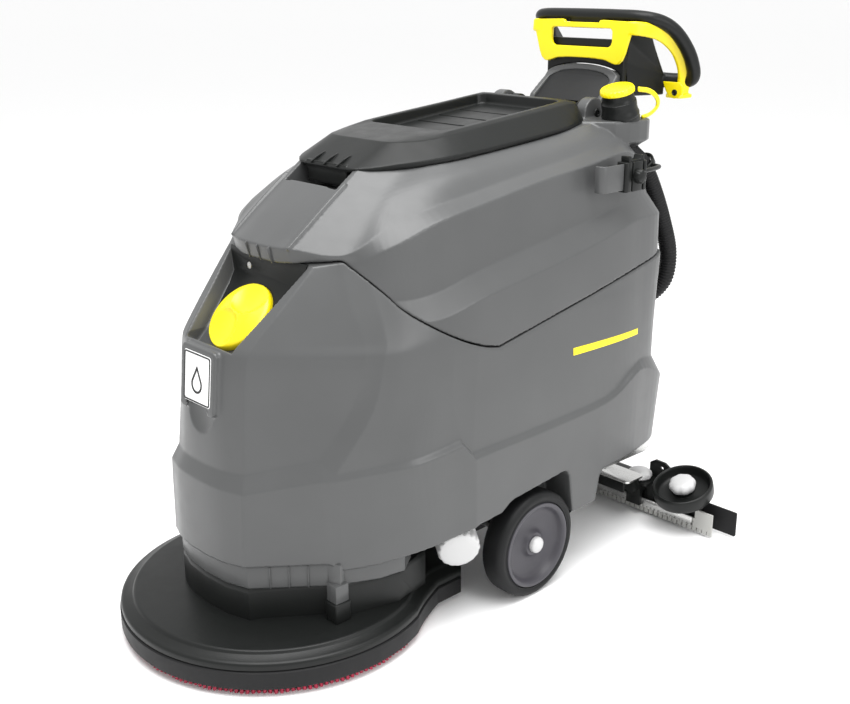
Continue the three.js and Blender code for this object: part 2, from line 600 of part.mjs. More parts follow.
const LID_OUTLINE = [[0, -176], [50, -176], [74, -172], [104, -146], [124, -106], [142, -64], [152, -20],
  [154, 60], [154, 200], [152, 300], [140, 338], [0, 344]];

function tankLid() {
  const rings = [
    LID_OUTLINE.map(([x, y]) => [x, y, LID.rimZ + LID.slope * y]),
    [[0, -180, 782], [50, -180, 782], [72, -176, 783], [100, -150, 787], [122, -110, 790], [141, -68, 794],
      [151, -24, 798], [153, 60, 804], [153, 200, 816], [151, 300, 826], [140, 338, 829], [0, 344, 830]],
    [[0, -108, 820], [50, -108, 820], [74, -104, 820], [90, -92, 820], [104, -66, 821], [116, -34, 824],
      [121, -8, 826], [121, 60, 834], [121, 200, 848], [121, 296, 858], [116, 330, 860], [0, 334, 861]],
    [[0, -14, 830], [50, -14, 830], [74, -14, 830], [90, -13, 830], [100, -12, 830], [106, -8, 830],
      [110, 0, 831], [110, 60, 837], [110, 200, 851], [110, 296, 862], [106, 312, 864], [0, 314, 864]],
  ];
  const tray = loft([
    mirroredRing([[0, 6, 812], [90, 6, 812], [98, 12, 812], [100, 290, 842], [90, 298, 843],
      [0, 298, 843]]),
    mirroredRing([[0, 2, 880], [92, 2, 880], [102, 8, 880], [104, 296, 880], [94, 304, 880],
      [0, 304, 880]]),
  ]);
  const knuckle = (side) =>
    join(rod(at(side * 78, LID.hingeY, LID.hingeZ), at(side * 99, LID.hingeY, LID.hingeZ), 22, 16),
      block(side > 0 ? [78, 99] : [-99, -78], [320, LID.hingeY], [LID.hingeZ - 10, LID.hingeZ + 12]));
  const lip = block([-50, 50], [-176, -168], [752, 784]);
  const underside = sidePrism([[-90, 760], [-90, 800], [300, 836], [300, 760]], -116, 116);
  const pinHole = rod(at(-200, LID.hingeY, LID.hingeZ), at(200, LID.hingeY, LID.hingeZ), 5.4);
  return cut(join(loft(rings.map(mirroredRing)), knuckle(1), knuckle(-1), lip), tray, underside, pinHole);
}

const lidHingePin = () => rod(at(-120, LID.hingeY, LID.hingeZ), at(120, LID.hingeY, LID.hingeZ), 5);

function suctionTurbine() {
  const centre = at(0, 250, 0);
  return turned([[0, 640], [58, 640], [62, 646], [62, 690], [40, 696], [36, 730], [0, 730]], centre);
}

function consoleHousing() {
  const foot = SHELF_TOP + GAP;
  const body = sidePrism([[428, foot], [434, 852], [490, 898], [496, 906], [516, 906], [516, foot]], -92, 92);
  return cut(body, sidePrism([[400, 840], [429, 852], [480, 894], [486, 886], [440, 848]], -72, 72));
}

function consoleInsert() {
  return sidePrism([[436.5, 853.5], [478.5, 888], [482, 884.5], [440.5, 849.6]], -70, 70);
}

const controlPanel = () => frontPrism(roundedBox(-80, 80, 836, 898, 8), 516.4, 524);

const controlKnob = () => turned([[0, 0.4], [20, 0.4], [18, 16], [0, 18]], at(36, 524, 868), at(0, 1, 0), 16);

// The grip: a bar across the top whose ends sweep back and down, then turn in to the struts.
function handleFrame() {
  const { topZ, topY, tube: radius } = HANDLE;
  const sweep = (s) => [at(s * 128, topY + 6, topZ - 2), at(s * 152, topY + 32, topZ - 10),
    at(s * 166, topY + 59, topZ - 28), at(s * 176, topY + 90, topZ - 64),
    at(s * 178, topY + 110, topZ - 99), at(s * 172, topY + 118, topZ - 118),
    at(s * 154, topY + 118, topZ - 125), at(s * 104, topY + 102, topZ - 125)];
  const bar = [at(-70, topY, topZ), at(70, topY, topZ)];
  const grip = tube([...sweep(-1).reverse(), ...bar, ...sweep(1)], radius, 8, 36);
  const panel = block([-92, 92], [494, 508], [864, 924]);
  return cut(join(grip, handleStrut(1), handleStrut(-1), panel), consoleSpace());
}

// The cheek beside the console, which rises as a strut to the top bar and carries the grip's end.
function handleStrut(side) {
  const rows = [
    [[88, 494, 856], [120, 604, 856], [106, 614, 856], [80, 508, 856]],
    [[88, 494, 926], [120, 604, 896], [106, 614, 896], [80, 508, 926]],
    [[106, 500, 1004], [138, 504, 1004], [134, 518, 1004], [104, 516, 1004]],
  ];
  const ring = (row) => row.map(([x, y, z]) => at(side * x, y, z));
  return loft(rows.map((row) => (side > 0 ? ring(row) : ring(row).reverse())));
}

const consoleSpace = () => block([-92.4, 92.4], [400, 524.4], [800, 906.4]);

// The yellow bar under the grip that the operator pulls towards it to drive.
function driveLever() {
  const half = [[84, 920], [98, 934], [116, 968], [118, 986], [108, 994]];
  const outline = [...half, ...half.map(([x, z]) => [-x, z]).reverse()];
  const window = polygon([[-70, 950], [70, 950], [76, 958], [76, 984], [-76, 984], [-76, 958]]);
  const front = cut(frontPrism(polygon(outline), HANDLE.leverFront, HANDLE.leverBack),
    frontPrism(window, 400, 560));
  const band = (s) => tube([at(s * 106, 485, 978), at(s * 131, 490, 977), at(s * 146, 520, 970),
    at(s * 151, 548, 956), at(s * 156, 577, 928), at(s * 157, 594, 904), at(s * 154, 602, 862)], 6, 6, 12);
  const flap = (s) => block(s > 0 ? [124, 176] : [-176, -124], [594, 632], [856, 864]);
  return join(front, band(1), band(-1), flap(1), flap(-1));
}

// ---- squeegee ----
function squeegeeArm() {
  const plate = sidePrism([[244, 140], [236, 152], [244, 162], [330, 150], [398, 106], [455, 103],
    [455, 96.4], [394, 96.4], [326, 140]], -34, 34);
  return cut(join(spindle(40, 14, 16), plate), spindle(60, 6.4));
}

function squeegeeBeam() {
  const beam = block([-350, 350], [476, 505], [30, 70]);
  const carrier = block([-240, 240], [456, 512], [70, 74]);
  const bossX = (s) => (s > 0 ? [192, 226] : [-226, -192]);
  const boss = (s) => join(block(bossX(s), [456, 466.2], [22, 74]), block(bossX(s), [456, 480], [52.6, 74]),
    block(bossX(s), [430, 450], [60, 91.6]), block(bossX(s), [449, 457], [60, 73]));
  const ear = (s) => frontPrism(polygon(s > 0 ? [[214, 72], [268, 72], [262, 104], [222, 112], [214, 104]]
    : [[-214, 72], [-214, 104], [-222, 112], [-262, 104], [-268, 72]]), 505, 511);
  const port = rod(at(0, 490, 60), at(0, 490, 84), 26, 16);
  const rollerSeat = (s) => block(s > 0 ? [282, 349] : [-349, -282], [476.4, 505], [56, 62]);
  const passage = rod(at(0, 490, 16), at(0, 490, 100), 20, 16);
  const body = join(beam, carrier, boss(1), boss(-1), ear(1), ear(-1), port, rollerSeat(1), rollerSeat(-1));
  return cut(body, passage, frontHole(244, 98), frontHole(-244, 98));
}

const frontHole = (x, z) => rod(at(x, 480, z), at(x, 530, z), 4, 12);

function carrierPlate() {
  return join(block([-236, 236], [398, 455.6], [92, 96]), block([-236, 236], [398, 402], [70, 94]));
}

const frontBlade = () => block([-SQUEEGEE.frontHalf, SQUEEGEE.frontHalf], [471, 475.6], [5, 52]);

const clampStrip = () => block([-350, 350], [466.6, 470.6], [18, 34]);

const rearBlade = () => block([-SQUEEGEE.rearHalf, SQUEEGEE.rearHalf], [505.4, 510], [6, 58]);

function squeegeeKnob(side) {
  const profile = [[0, 0.4], [22, 0.4], [26, 4], [26, 12], [20, 18], [0, 21]];
  return turned(profile, at(side * SQUEEGEE.knobX, 478, 74), undefined, 24);
}

const ROLLER_AXIS = at(0, -0.36, 1).normalize();
const onRollerAxis = (side, distance) =>
  at(side * SQUEEGEE.rollerX, 466, 101).addScaledVector(ROLLER_AXIS, distance);

function guardRoller(side) {
  const profile = [[9, -28], [56, -30], [61, -26], [61, -2], [58, 0], [54, -3], [50, -20], [22, -20],
    [20, -12], [9, -12], [9, -28]];
  return turned(profile, onRollerAxis(side, 0), ROLLER_AXIS, 22);
}

function rollerKnob(side) {
  const profile = [[0, -11], [24, -11], [27, -6], [26, 3], [20, 9], [0, 11]];
  return join(turned(profile, onRollerAxis(side, 0), ROLLER_AXIS, 24),
    rod(onRollerAxis(side, -29), onRollerAxis(side, -8), 8));
}

const SUCTION_ROUTE = [at(0, 490, 84.6), at(0, 490, 100), at(0, 512, 140), at(0, 542, 200), at(0, 556, 270),
  at(0, 556, 340), at(0, 548, 386), at(0, 528, 410), at(0, 501, 410)];
const suctionHose = () => tube(SUCTION_ROUTE, SUCTION_HOSE_RADIUS, 8, 20);

function suctionPort() {
  return turned([[19, 0], [29, 0], [29, 8], [24, 10], [24, 27], [19, 27], [19, 0]], at(0, 473, 410),
    at(0, 1, 0), 20);
}

function leverPin(radius, half) {
  const { x, y, z } = LIFT_LEVER;
  return rod(at(x - half, y, z), at(x + half, y, z), radius);
}

function leverLug(offset) {
  const { x, y, z } = LIFT_LEVER;
  return block([x + offset - 5, x + offset + 5], [455, y + 12], [z - 13, z + 13]);
}

function liftLever() {
  const { y, z, pinRadius } = LIFT_LEVER;
  const bar = sidePrism([[y - 8, z - 8], [y + 6, z - 10], [y + 16, z + 80], [y + 8, z + 86], [y - 2, z + 80]],
    LIFT_LEVER.x - 6, LIFT_LEVER.x + 6);
  return join(leverPin(pinRadius, 25), leverPin(12, 13), bar);
}

// ---- assembly ----
const scrubber = new THREE.Group();
scrubber.position.y = -MIDDLE_Y;

function add(name, geometry, material) {
  const flat = geometry.index ? geometry.toNonIndexed() : geometry;
  flat.computeVertexNormals();
  const mesh = new THREE.Mesh(flat, material);
  mesh.name = name;
  scrubber.add(mesh);
}

add('lower_tank', lowerTank(), GREY);
add('base_flange', baseFlange(), GREY);
add('badge_plate', badgePlate(), WHITE);
add('fill_recess_panel', recessPanel(), BLACK);
add('fill_cap', fillCap(), YELLOW);
add('brush_deck', brushDeck(), BLACK);
add('splash_skirt', splashSkirt(), RUBBER);
add('chassis_frame', chassisFrame(), BLACK);
add('brush_motor', brushMotor(), DARK_GREY);
add('brush_plate', brushPlate(), BLACK);
add('brush_bristles', bristleRing(), RED);
add('battery_left', battery(1), DARK_GREY);
add('battery_right', battery(-1), DARK_GREY);
add('wheel_axle', wheelAxle(), STEEL);
add('filter_housing', filterHousing(), BLACK);
add('filter_cap', filterCap(), WHITE);

for (const [name, side] of [['left', 1], ['right', -1]]) {
  add(`wheel_tyre_${name}`, wheelTyre(side), RUBBER);
  add(`wheel_rim_${name}`, wheelRim(side), RIM_GREY);
  add(`wheel_cap_${name}`, wheelCap(side), WHITE);
  add(`caster_fork_${name}`, casterFork(side), STEEL);
  add(`caster_wheel_${name}`, casterWheel(side), RUBBER);
}

add('recovery_tank', recoveryTank(), GREY);
add('tank_hinge', tankHinge(), BLACK);
add('suction_turbine', suctionTurbine(), DARK_GREY);
add('drain_neck', drainNeck(), BLACK);
add('drain_cap', drainCap(), YELLOW);
add('cap_strap', capStrap(), YELLOW);
add('drain_hose', drainHose(), BLACK);
add('hose_clip', hoseClip(), BLACK);
add('accessory_rail', accessoryRail(), DARK_GREY);
add('rail_clamp', railClamp(), BLACK);
add('tank_lid', tankLid(), BLACK);
add('lid_hinge_pin', lidHingePin(), BLACK);
add('console_housing', consoleHousing(), GREY);
add('console_insert', consoleInsert(), DARK_GREY);
add('control_panel', controlPanel(), BLACK);
add('control_knob', controlKnob(), YELLOW);
add('handle_frame', handleFrame(), BLACK);
add('drive_lever', driveLever(), YELLOW);

add('squeegee_spindle', spindle(62, 6), STEEL);
add('squeegee_arm', squeegeeArm(), BLACK);
add('squeegee_beam', squeegeeBeam(), BLACK);
add('squeegee_carrier', carrierPlate(), STEEL);
add('front_blade', frontBlade(), CLEAR_GREY);
add('blade_clamp_strip', clampStrip(), STEEL);
add('rear_blade', rearBlade(), RUBBER);
for (const [name, side] of [['left', 1], ['right', -1]]) {
  add(`squeegee_knob_${name}`, squeegeeKnob(side), WHITE);
  add(`guard_roller_${name}`, guardRoller(side), BLACK);
  add(`roller_knob_${name}`, rollerKnob(side), WHITE);
}
add('suction_hose', suctionHose(), BLACK);
add('suction_port', suctionPort(), BLACK);
add('lift_lever', liftLever(), BLACK);

export default scrubber;
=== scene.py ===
import json
import math

import bmesh
import bpy
import numpy as np
from mathutils import Matrix, Vector


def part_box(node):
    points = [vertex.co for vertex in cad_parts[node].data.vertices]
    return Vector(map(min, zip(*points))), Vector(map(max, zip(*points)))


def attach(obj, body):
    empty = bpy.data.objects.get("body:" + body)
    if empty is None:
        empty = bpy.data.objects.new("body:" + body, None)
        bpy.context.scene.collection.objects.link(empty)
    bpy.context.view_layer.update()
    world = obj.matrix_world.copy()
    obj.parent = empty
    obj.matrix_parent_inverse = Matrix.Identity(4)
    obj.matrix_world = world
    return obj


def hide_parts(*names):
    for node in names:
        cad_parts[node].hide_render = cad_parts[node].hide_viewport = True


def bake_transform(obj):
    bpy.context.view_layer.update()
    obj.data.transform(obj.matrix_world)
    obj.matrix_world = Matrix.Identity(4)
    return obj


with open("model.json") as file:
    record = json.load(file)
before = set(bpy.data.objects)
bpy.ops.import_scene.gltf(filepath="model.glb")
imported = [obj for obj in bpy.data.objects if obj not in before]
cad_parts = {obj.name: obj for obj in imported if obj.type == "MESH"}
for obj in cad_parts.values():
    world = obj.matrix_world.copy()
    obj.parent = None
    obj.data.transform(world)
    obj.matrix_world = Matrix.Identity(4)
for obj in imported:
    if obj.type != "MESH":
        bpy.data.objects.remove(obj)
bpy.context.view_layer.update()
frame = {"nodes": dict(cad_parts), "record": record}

# Working coordinates are millimetres; y is counted from a working origin that the wheel axle fixes.
AXLE_Y = 55.5
axle_low, axle_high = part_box("wheel_axle")
ORIGIN_Y = (axle_low.y + axle_high.y) / 2 - AXLE_Y / 1000


def metres(x, y, z):
    """A place in working millimetres, given in the frame's metres."""
    return Vector((x / 1000, y / 1000 + ORIGIN_Y, z / 1000))


# ---- camera ----
CAMERA = {"azimuth": 45.581, "elevation": 17.893, "roll": -0.245, "place": (1487.2, -1351.6, 1071.2),
          "lens": 47.79, "shift": (-0.0249, -0.0058)}


def make_camera():
    azimuth, elevation = math.radians(CAMERA["azimuth"]), math.radians(CAMERA["elevation"])
    back = Vector((math.sin(azimuth) * math.cos(elevation), -math.cos(azimuth) * math.cos(elevation),
                   math.sin(elevation)))
    right = Vector((math.cos(azimuth), math.sin(azimuth), 0))
    up = back.cross(right)
    turn = Matrix((right, up, back)).transposed()
    roll = Matrix.Rotation(math.radians(-CAMERA["roll"]), 3, "Z")
    data = bpy.data.cameras.new("camera")
    data.sensor_width = 36
    data.lens = CAMERA["lens"]
    data.shift_x, data.shift_y = CAMERA["shift"]
    camera = bpy.data.objects.new("camera", data)
    bpy.context.scene.collection.objects.link(camera)
    camera.matrix_world = Matrix.Translation(metres(*CAMERA["place"])) @ (turn @ roll).to_4x4()
    bpy.context.scene.camera = camera


make_camera()


# ---- materials ----
def shader(name, color, roughness, metallic=0.0, shine=0.5):
    material = bpy.data.materials.new(name)
    material.use_nodes = True
    nodes = material.node_tree.nodes
    surface = nodes["Principled BSDF"]
    surface.inputs["Base Color"].default_value = (*color, 1)
    surface.inputs["Roughness"].default_value = roughness
    surface.inputs["Metallic"].default_value = metallic
    surface.inputs["Specular IOR Level"].default_value = shine
    return material, nodes, material.node_tree.links, surface


def noise(nodes, links, scale, detail):
    place = nodes.new("ShaderNodeTexCoord")
    texture = nodes.new("ShaderNodeTexNoise")
    texture.inputs["Scale"].default_value = scale
    texture.inputs["Detail"].default_value = detail
    texture.inputs["Roughness"].default_value = 0.55
    links.new(place.outputs["Object"], texture.inputs["Vector"])
    return texture.outputs["Fac"]


def spread(nodes, links, source, low, high):
    ramp = nodes.new("ShaderNodeMapRange")
    ramp.inputs["From Min"].default_value = 0.25
    ramp.inputs["From Max"].default_value = 0.75
    ramp.inputs["To Min"].default_value = low
    ramp.inputs["To Max"].default_value = high
    links.new(source, ramp.inputs["Value"])
    return ramp.outputs["Result"]


def tinted(nodes, links, source, dark, light):
    mix = nodes.new("ShaderNodeMix")
    mix.data_type = "RGBA"
    mix.inputs["A"].default_value = (*dark, 1)
    mix.inputs["B"].default_value = (*light, 1)
    links.new(source, mix.inputs["Factor"])
    return mix.outputs["Result"]


def bumped(nodes, links, source, surface, strength, distance):
    bump = nodes.new("ShaderNodeBump")
    bump.inputs["Strength"].default_value = strength
    bump.inputs["Distance"].default_value = distance
    links.new(source, bump.inputs["Height"])
    links.new(bump.outputs["Normal"], surface.inputs["Normal"])


def plastic(name, color, roughness, grain=900, depth=0.00012, contrast=0.06, shine=0.5):
    """Moulded plastic: a fine grain, a slow change of tone and of gloss."""
    material, nodes, links, surface = shader(name, color, roughness, shine=shine)
    slow = spread(nodes, links, noise(nodes, links, 7, 2), 0, 1)
    dark = tuple(c * (1 - contrast) for c in color)
    light = tuple(min(1, c * (1 + contrast)) for c in color)
    links.new(tinted(nodes, links, slow, dark, light), surface.inputs["Base Color"])
    patchy = noise(nodes, links, 34, 4)
    links.new(spread(nodes, links, patchy, roughness - 0.04, roughness + 0.05), surface.inputs["Roughness"])
    bumped(nodes, links, noise(nodes, links, grain, 2), surface, 0.35, depth)
    return material


def metal(name, color, roughness, stretch):
    """Metal whose fine scratches are drawn out by stretch."""
    material, nodes, links, surface = shader(name, color, roughness, metallic=1.0)
    place = nodes.new("ShaderNodeTexCoord")
    mapping = nodes.new("ShaderNodeMapping")
    mapping.inputs["Scale"].default_value = stretch
    links.new(place.outputs["Object"], mapping.inputs["Vector"])
    texture = nodes.new("ShaderNodeTexNoise")
    texture.inputs["Scale"].default_value = 18
    texture.inputs["Detail"].default_value = 4
    links.new(mapping.outputs["Vector"], texture.inputs["Vector"])
    links.new(spread(nodes, links, texture.outputs["Fac"], roughness - 0.08, roughness + 0.12),
              surface.inputs["Roughness"])
    bumped(nodes, links, texture.outputs["Fac"], surface, 0.05, 0.00004)
    return material


GREY = plastic("moulded_grey", (0.068, 0.0695, 0.070), 0.33, shine=0.42)
BLACK = plastic("black_plastic", (0.0080, 0.0088, 0.0084), 0.36, grain=1400, shine=0.22)
DARK = plastic("dark_grey_plastic", (0.035, 0.036, 0.037), 0.45, shine=0.35)
INSERT = plastic("console_insert_plastic", (0.015, 0.0155, 0.016), 0.55, grain=700, shine=0.22)
RUBBER = plastic("black_rubber", (0.008, 0.008, 0.0085), 0.55, grain=500, depth=0.0002, shine=0.22)
TYRE = plastic("tyre_rubber", (0.0075, 0.0078, 0.0082), 0.52, grain=420, depth=0.0002, shine=0.2)
RIM = plastic("rim_plastic", (0.050, 0.048, 0.056), 0.42, shine=0.35)
YELLOW = plastic("yellow_plastic", (0.86, 0.70, 0.0), 0.34, contrast=0.02)
WHITE = plastic("white_plastic", (0.50, 0.50, 0.50), 0.35, contrast=0.02)
PLATE = plastic("badge_white", (0.88, 0.88, 0.88), 0.3, contrast=0.02)
RED = plastic("bristle_nylon", (0.50, 0.03, 0.075), 0.5, contrast=0.2)
STEEL = metal("brushed_steel", (0.62, 0.62, 0.61), 0.28, stretch=(2, 160, 160))
PAINT = plastic("frame_paint", (0.012, 0.0125, 0.013), 0.5, grain=300, shine=0.35)
BLADE = plastic("natural_rubber", (0.42, 0.42, 0.40), 0.5)
BY_SLOT = {
    "body_grey": GREY, "black_plastic": BLACK, "dark_plastic": DARK, "yellow_plastic": YELLOW,
    "white_plastic": WHITE, "badge_face": PLATE, "black_rubber": RUBBER, "tyre_rubber": TYRE,
    "blade_rubber": BLADE, "rim_plastic": RIM, "bristle_red": RED, "steel": STEEL, "frame_paint": PAINT,
    "hose_black": RUBBER,
}


# ---- meshes ----
def add_object(name, mesh):
    thing = bpy.data.objects.new(name, mesh)
    bpy.context.scene.collection.objects.link(thing)
    return thing


def mesh_from(name, points, faces):
    mesh = bpy.data.meshes.new(name)
    mesh.from_pydata([metres(*p) for p in points], [], faces)
    work = bmesh.new()
    work.from_mesh(mesh)
    bmesh.ops.recalc_face_normals(work, faces=work.faces)
    work.to_mesh(mesh)
    work.free()
    return mesh


def applied(thing):
    graph = bpy.context.evaluated_depsgraph_get()
    graph.update()
    mesh = bpy.data.meshes.new_from_object(thing.evaluated_get(graph), depsgraph=graph)
    thing.modifiers.clear()
    thing.data = mesh
    return thing


def boolean(thing, tool, operation="DIFFERENCE"):
    change = thing.modifiers.new("boolean", "BOOLEAN")
    change.object = tool
    change.operation = operation
    change.solver = "MANIFOLD"
    applied(thing)
    bpy.data.objects.remove(tool)
    return thing


def cut(thing, *tools):
    for tool in tools:
        boolean(thing, tool)
    return thing


def join(thing, *pieces):
    for piece in pieces:
        boolean(thing, piece, "UNION")
    return thing


def soften(thing, voxel, passes, keep=0.3):
    """Turns a sharp solid into one with the soft edges of a moulding."""
    remesh = thing.modifiers.new("remesh", "REMESH")
    remesh.mode = "VOXEL"
    remesh.voxel_size = (voxel * 1) / 1000
    remesh.use_smooth_shade = True
    smooth = thing.modifiers.new("smooth", "SMOOTH")
    smooth.factor = 0.5
    smooth.iterations = passes
    thin = thing.modifiers.new("thin", "DECIMATE")
    thin.ratio = keep
    return shade(applied(thing))


def shade(thing, angle=None):
    for face in thing.data.polygons:
        face.use_smooth = True
    if angle is not None:
        thing.data.set_sharp_from_angle(angle=math.radians(angle))
    return thing


def bevelled(thing, width, segments, angle=35):
    bevel = thing.modifiers.new("bevel", "BEVEL")
    bevel.width = width / 1000
    bevel.segments = segments
    bevel.limit_method = "ANGLE"
    bevel.angle_limit = math.radians(angle)
    bevel.harden_normals = False
    return shade(applied(thing), 50)


def prism(name, outline, span, place):
    """A solid whose flat outline is pushed along one axis; place turns (a, b, depth) into (x, y, z)."""
    count = len(outline)
    points = [place(a, b, span[0]) for a, b in outline] + [place(a, b, span[1]) for a, b in outline]
    faces = [list(range(count))[::-1], list(range(count, 2 * count))]
    faces += [[i, (i + 1) % count, count + (i + 1) % count, count + i] for i in range(count)]
    return add_object(name, mesh_from(name, points, faces))


def side_prism(name, outline, x0, x1):
    return prism(name, outline, (x0, x1), lambda y, z, x: (x, y, z))


def front_prism(name, outline, y0, y1):
    return prism(name, outline, (y0, y1), lambda x, z, y: (x, y, z))


def plan_prism(name, outline, z0, z1):
    return prism(name, outline, (z0, z1), lambda x, y, z: (x, y, z))


def block(name, x, y, z):
    return plan_prism(name, [(x[0], y[0]), (x[1], y[0]), (x[1], y[1]), (x[0], y[1])], *z)


CORNER_STEPS = 6


def rounded(x0, x1, y0, y1, radius):
    """The outline of a rectangle with round corners."""
    centres = [(x1 - radius, y0 + radius, -90), (x1 - radius, y1 - radius, 0),
               (x0 + radius, y1 - radius, 90), (x0 + radius, y0 + radius, 180)]
    points = []
    for cx, cy, start in centres:
        for i in range(CORNER_STEPS + 1):
            a = math.radians(start + 90 * i / CORNER_STEPS)
            points.append((cx + radius * math.cos(a), cy + radius * math.sin(a)))
    return points


def between(side, near, far):
    """The span between two distances from x = 0, on one side of it."""
    return tuple(sorted((side * near, side * far)))


def frame_of(axis):
    """Two directions square to an axis and to each other, and the axis itself, all one unit long."""
    axis = Vector(axis).normalized()
    other = Vector((1, 0, 0)) if abs(axis.x) < 0.9 else Vector((0, 1, 0))
    u = axis.cross(other).normalized()
    return u, axis.cross(u), axis


def turned(name, profile, centre, axis=(0, 0, 1), steps=64):
    """A solid turned about an axis through centre; the profile's ends lie on the axis or meet."""
    u, v, w = frame_of(axis)
    centre = Vector(centre)
    closed = profile[0] == profile[-1]
    rings = profile[:-1] if closed else profile
    points, index = [], []
    for r, h in rings:
        if r < 1e-6:
            index.append([len(points)] * steps)
            points.append(centre + w * h)
        else:
            index.append(list(range(len(points), len(points) + steps)))
            for i in range(steps):
                a = 2 * math.pi * i / steps
                points.append(centre + w * h + (u * math.cos(a) + v * math.sin(a)) * r)
    faces = []
    pairs = list(zip(index, index[1:])) + ([(index[-1], index[0])] if closed else [])
    for low, high in pairs:
        for i in range(steps):
            j = (i + 1) % steps
            corners = []
            for corner in (low[i], low[j], high[j], high[i]):
                if corner not in corners:
                    corners.append(corner)
            if len(corners) > 2:
                faces.append(corners)
    return add_object(name, mesh_from(name, points, faces))


def ball(name, centre, radius, half_height, axis, steps=48):
    """A ball, or one squashed along its axis."""
    arc = [(radius * math.cos(math.radians(a)), half_height * math.sin(math.radians(a)))
           for a in range(-90, 91, 9)]
    return turned(name, [(r if r > 1e-6 else 0, h) for r, h in arc], centre, axis, steps)


def rod(name, start, end, radius, steps=32):
    start, end = Vector(start), Vector(end)
    length = (end - start).length
    return turned(name, [(0, 0), (radius, 0), (radius, length), (0, length)], start, end - start, steps)


def curve_points(points, per, sharp=()):
    """A smooth line through the points; at a sharp one it turns a corner."""
    p = [np.array(q, float) for q in points]
    n = len(p)
    out = []
    for i in range(n - 1):
        a, b = p[i], p[i + 1]
        before = p[i - 1] if i > 0 and i not in sharp else None
        after = p[i + 2] if i + 2 < n and i + 1 not in sharp else None
        chord = b - a
        ta = chord if before is None else (b - before) * np.linalg.norm(chord) / (
            np.linalg.norm(chord) + np.linalg.norm(a - before))
        tb = chord if after is None else (after - a) * np.linalg.norm(chord) / (
            np.linalg.norm(chord) + np.linalg.norm(after - b))
        for k in range(per):
            t = k / per
            out.append((2 * t**3 - 3 * t**2 + 1) * a + (t**3 - 2 * t**2 + t) * ta + (3 * t**2 - 2 * t**3) * b
                       + (t**3 - t**2) * tb)
    out.append(p[-1])
    return np.array(out)


def tube(name, points, radius, sides, per, shape=None):
    """A round tube along a smooth line; shape(angle, distance) may change its radius."""
    path = [Vector(q) for q in curve_points(points, per)]
    n = len(path)
    tangent = [(path[min(i + 1, n - 1)] - path[max(i - 1, 0)]).normalized() for i in range(n)]
    u = frame_of(tangent[0])[0]
    vertices, walked = [], 0.0
    for i in range(n):
        u = (u - tangent[i] * u.dot(tangent[i])).normalized()
        v = tangent[i].cross(u)
        walked += (path[i] - path[i - 1]).length if i else 0
        for k in range(sides):
            a = 2 * math.pi * k / sides
            r = radius if shape is None else shape(a, walked)
            vertices.append(path[i] + (u * math.cos(a) + v * math.sin(a)) * r)
    faces = []
    for i in range(n - 1):
        for k in range(sides):
            m = (k + 1) % sides
            faces.append([i * sides + k, i * sides + m, (i + 1) * sides + m, (i + 1) * sides + k])
    faces += [list(range(sides))[::-1], [(n - 1) * sides + k for k in range(sides)]]
    return add_object(name, mesh_from(name, vertices, faces))


def hermite_rows(grid, sharp, per):
    """Fills in between the rows of grid (rows, stations, 3) with smooth or straight spans."""
    columns = [curve_points(grid[:, s], per, sharp) for s in range(grid.shape[1])]
    return np.stack(columns, 1)


PER_STATION = 6


def shell_solid(name, rows, station_sharp, row_sharp, per_row=5):
    """A closed body through half outlines (nose centre to tail centre), mirrored across x = 0."""
    dense = []
    for row in rows:
        widened = [(-x, y, z) for x, y, z in row[1:2]] + list(row) + [(-x, y, z) for x, y, z in row[-2:-1]]
        line = curve_points(widened, PER_STATION, [i + 1 for i in station_sharp])
        dense.append(line[PER_STATION:-PER_STATION])
    grid = hermite_rows(np.array(dense), row_sharp, per_row)
    levels = len(grid)
    grid[:, 0, 0] = 0
    grid[:, -1, 0] = 0
    mirror = grid[:, -2:0:-1].copy()
    mirror[:, :, 0] *= -1
    full = np.concatenate([grid, mirror], 1)
    ring = full.shape[1]
    points = [tuple(p) for p in full.reshape(-1, 3)]
    faces = []
    for i in range(levels - 1):
        for j in range(ring):
            k = (j + 1) % ring
            faces.append([i * ring + j, i * ring + k, (i + 1) * ring + k, (i + 1) * ring + j])
    for level, flip in ((0, True), (levels - 1, False)):
        centre = len(points)
        points.append(tuple(full[level].mean(0)))
        for j in range(ring):
            k = (j + 1) % ring
            first, second = (k, j) if flip else (j, k)
            faces.append([centre, level * ring + first, level * ring + second])
    return add_object(name, mesh_from(name, points, faces))


def finished(thing, body, slot, *nodes, material=None):
    """Gives a piece its slot's material or another, hides the CAD nodes it stands in for and puts it in its
    body (none where it is blended).
    """
    thing.data.materials.clear()
    thing.data.materials.append(material or BY_SLOT[slot])
    for face in thing.data.polygons:
        face.material_index = 0
    if nodes:
        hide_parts(*nodes)
    if body:
        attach(thing, body)
    return thing


def loft(name, rings, loop=False):
    """A skin through rings with equal numbers of points, closed by a flat face at each end or looped."""
    count = len(rings[0])
    points = [p for ring in rings for p in ring]
    faces = []
    pairs = list(range(len(rings) - 1)) + ([len(rings) - 1] if loop else [])
    for i in pairs:
        low, high = i * count, ((i + 1) % len(rings)) * count
        faces += [[low + j, low + (j + 1) % count, high + (j + 1) % count, high + j] for j in range(count)]
    if not loop:
        faces += [list(range(count))[::-1], list(range((len(rings) - 1) * count, len(rings) * count))]
    return add_object(name, mesh_from(name, points, faces))


def side_points(points, side):
    return [(side * x, y, z) for x, y, z in points]


def mirrored(half):
    """The whole outline from the half that runs from x = 0 at the nose to x = 0 at the tail."""
    return list(half) + [(-p[0], *p[1:]) for p in half[-2:0:-1]]


def merged(name, *things):
    """One mesh object from several that don't need to be one solid."""
    mesh = bmesh.new()
    for thing in things:
        mesh.from_mesh(thing.data)
        bpy.data.objects.remove(thing)
    data = bpy.data.meshes.new(name)
    mesh.to_mesh(data)
    mesh.free()
    return add_object(name, data)


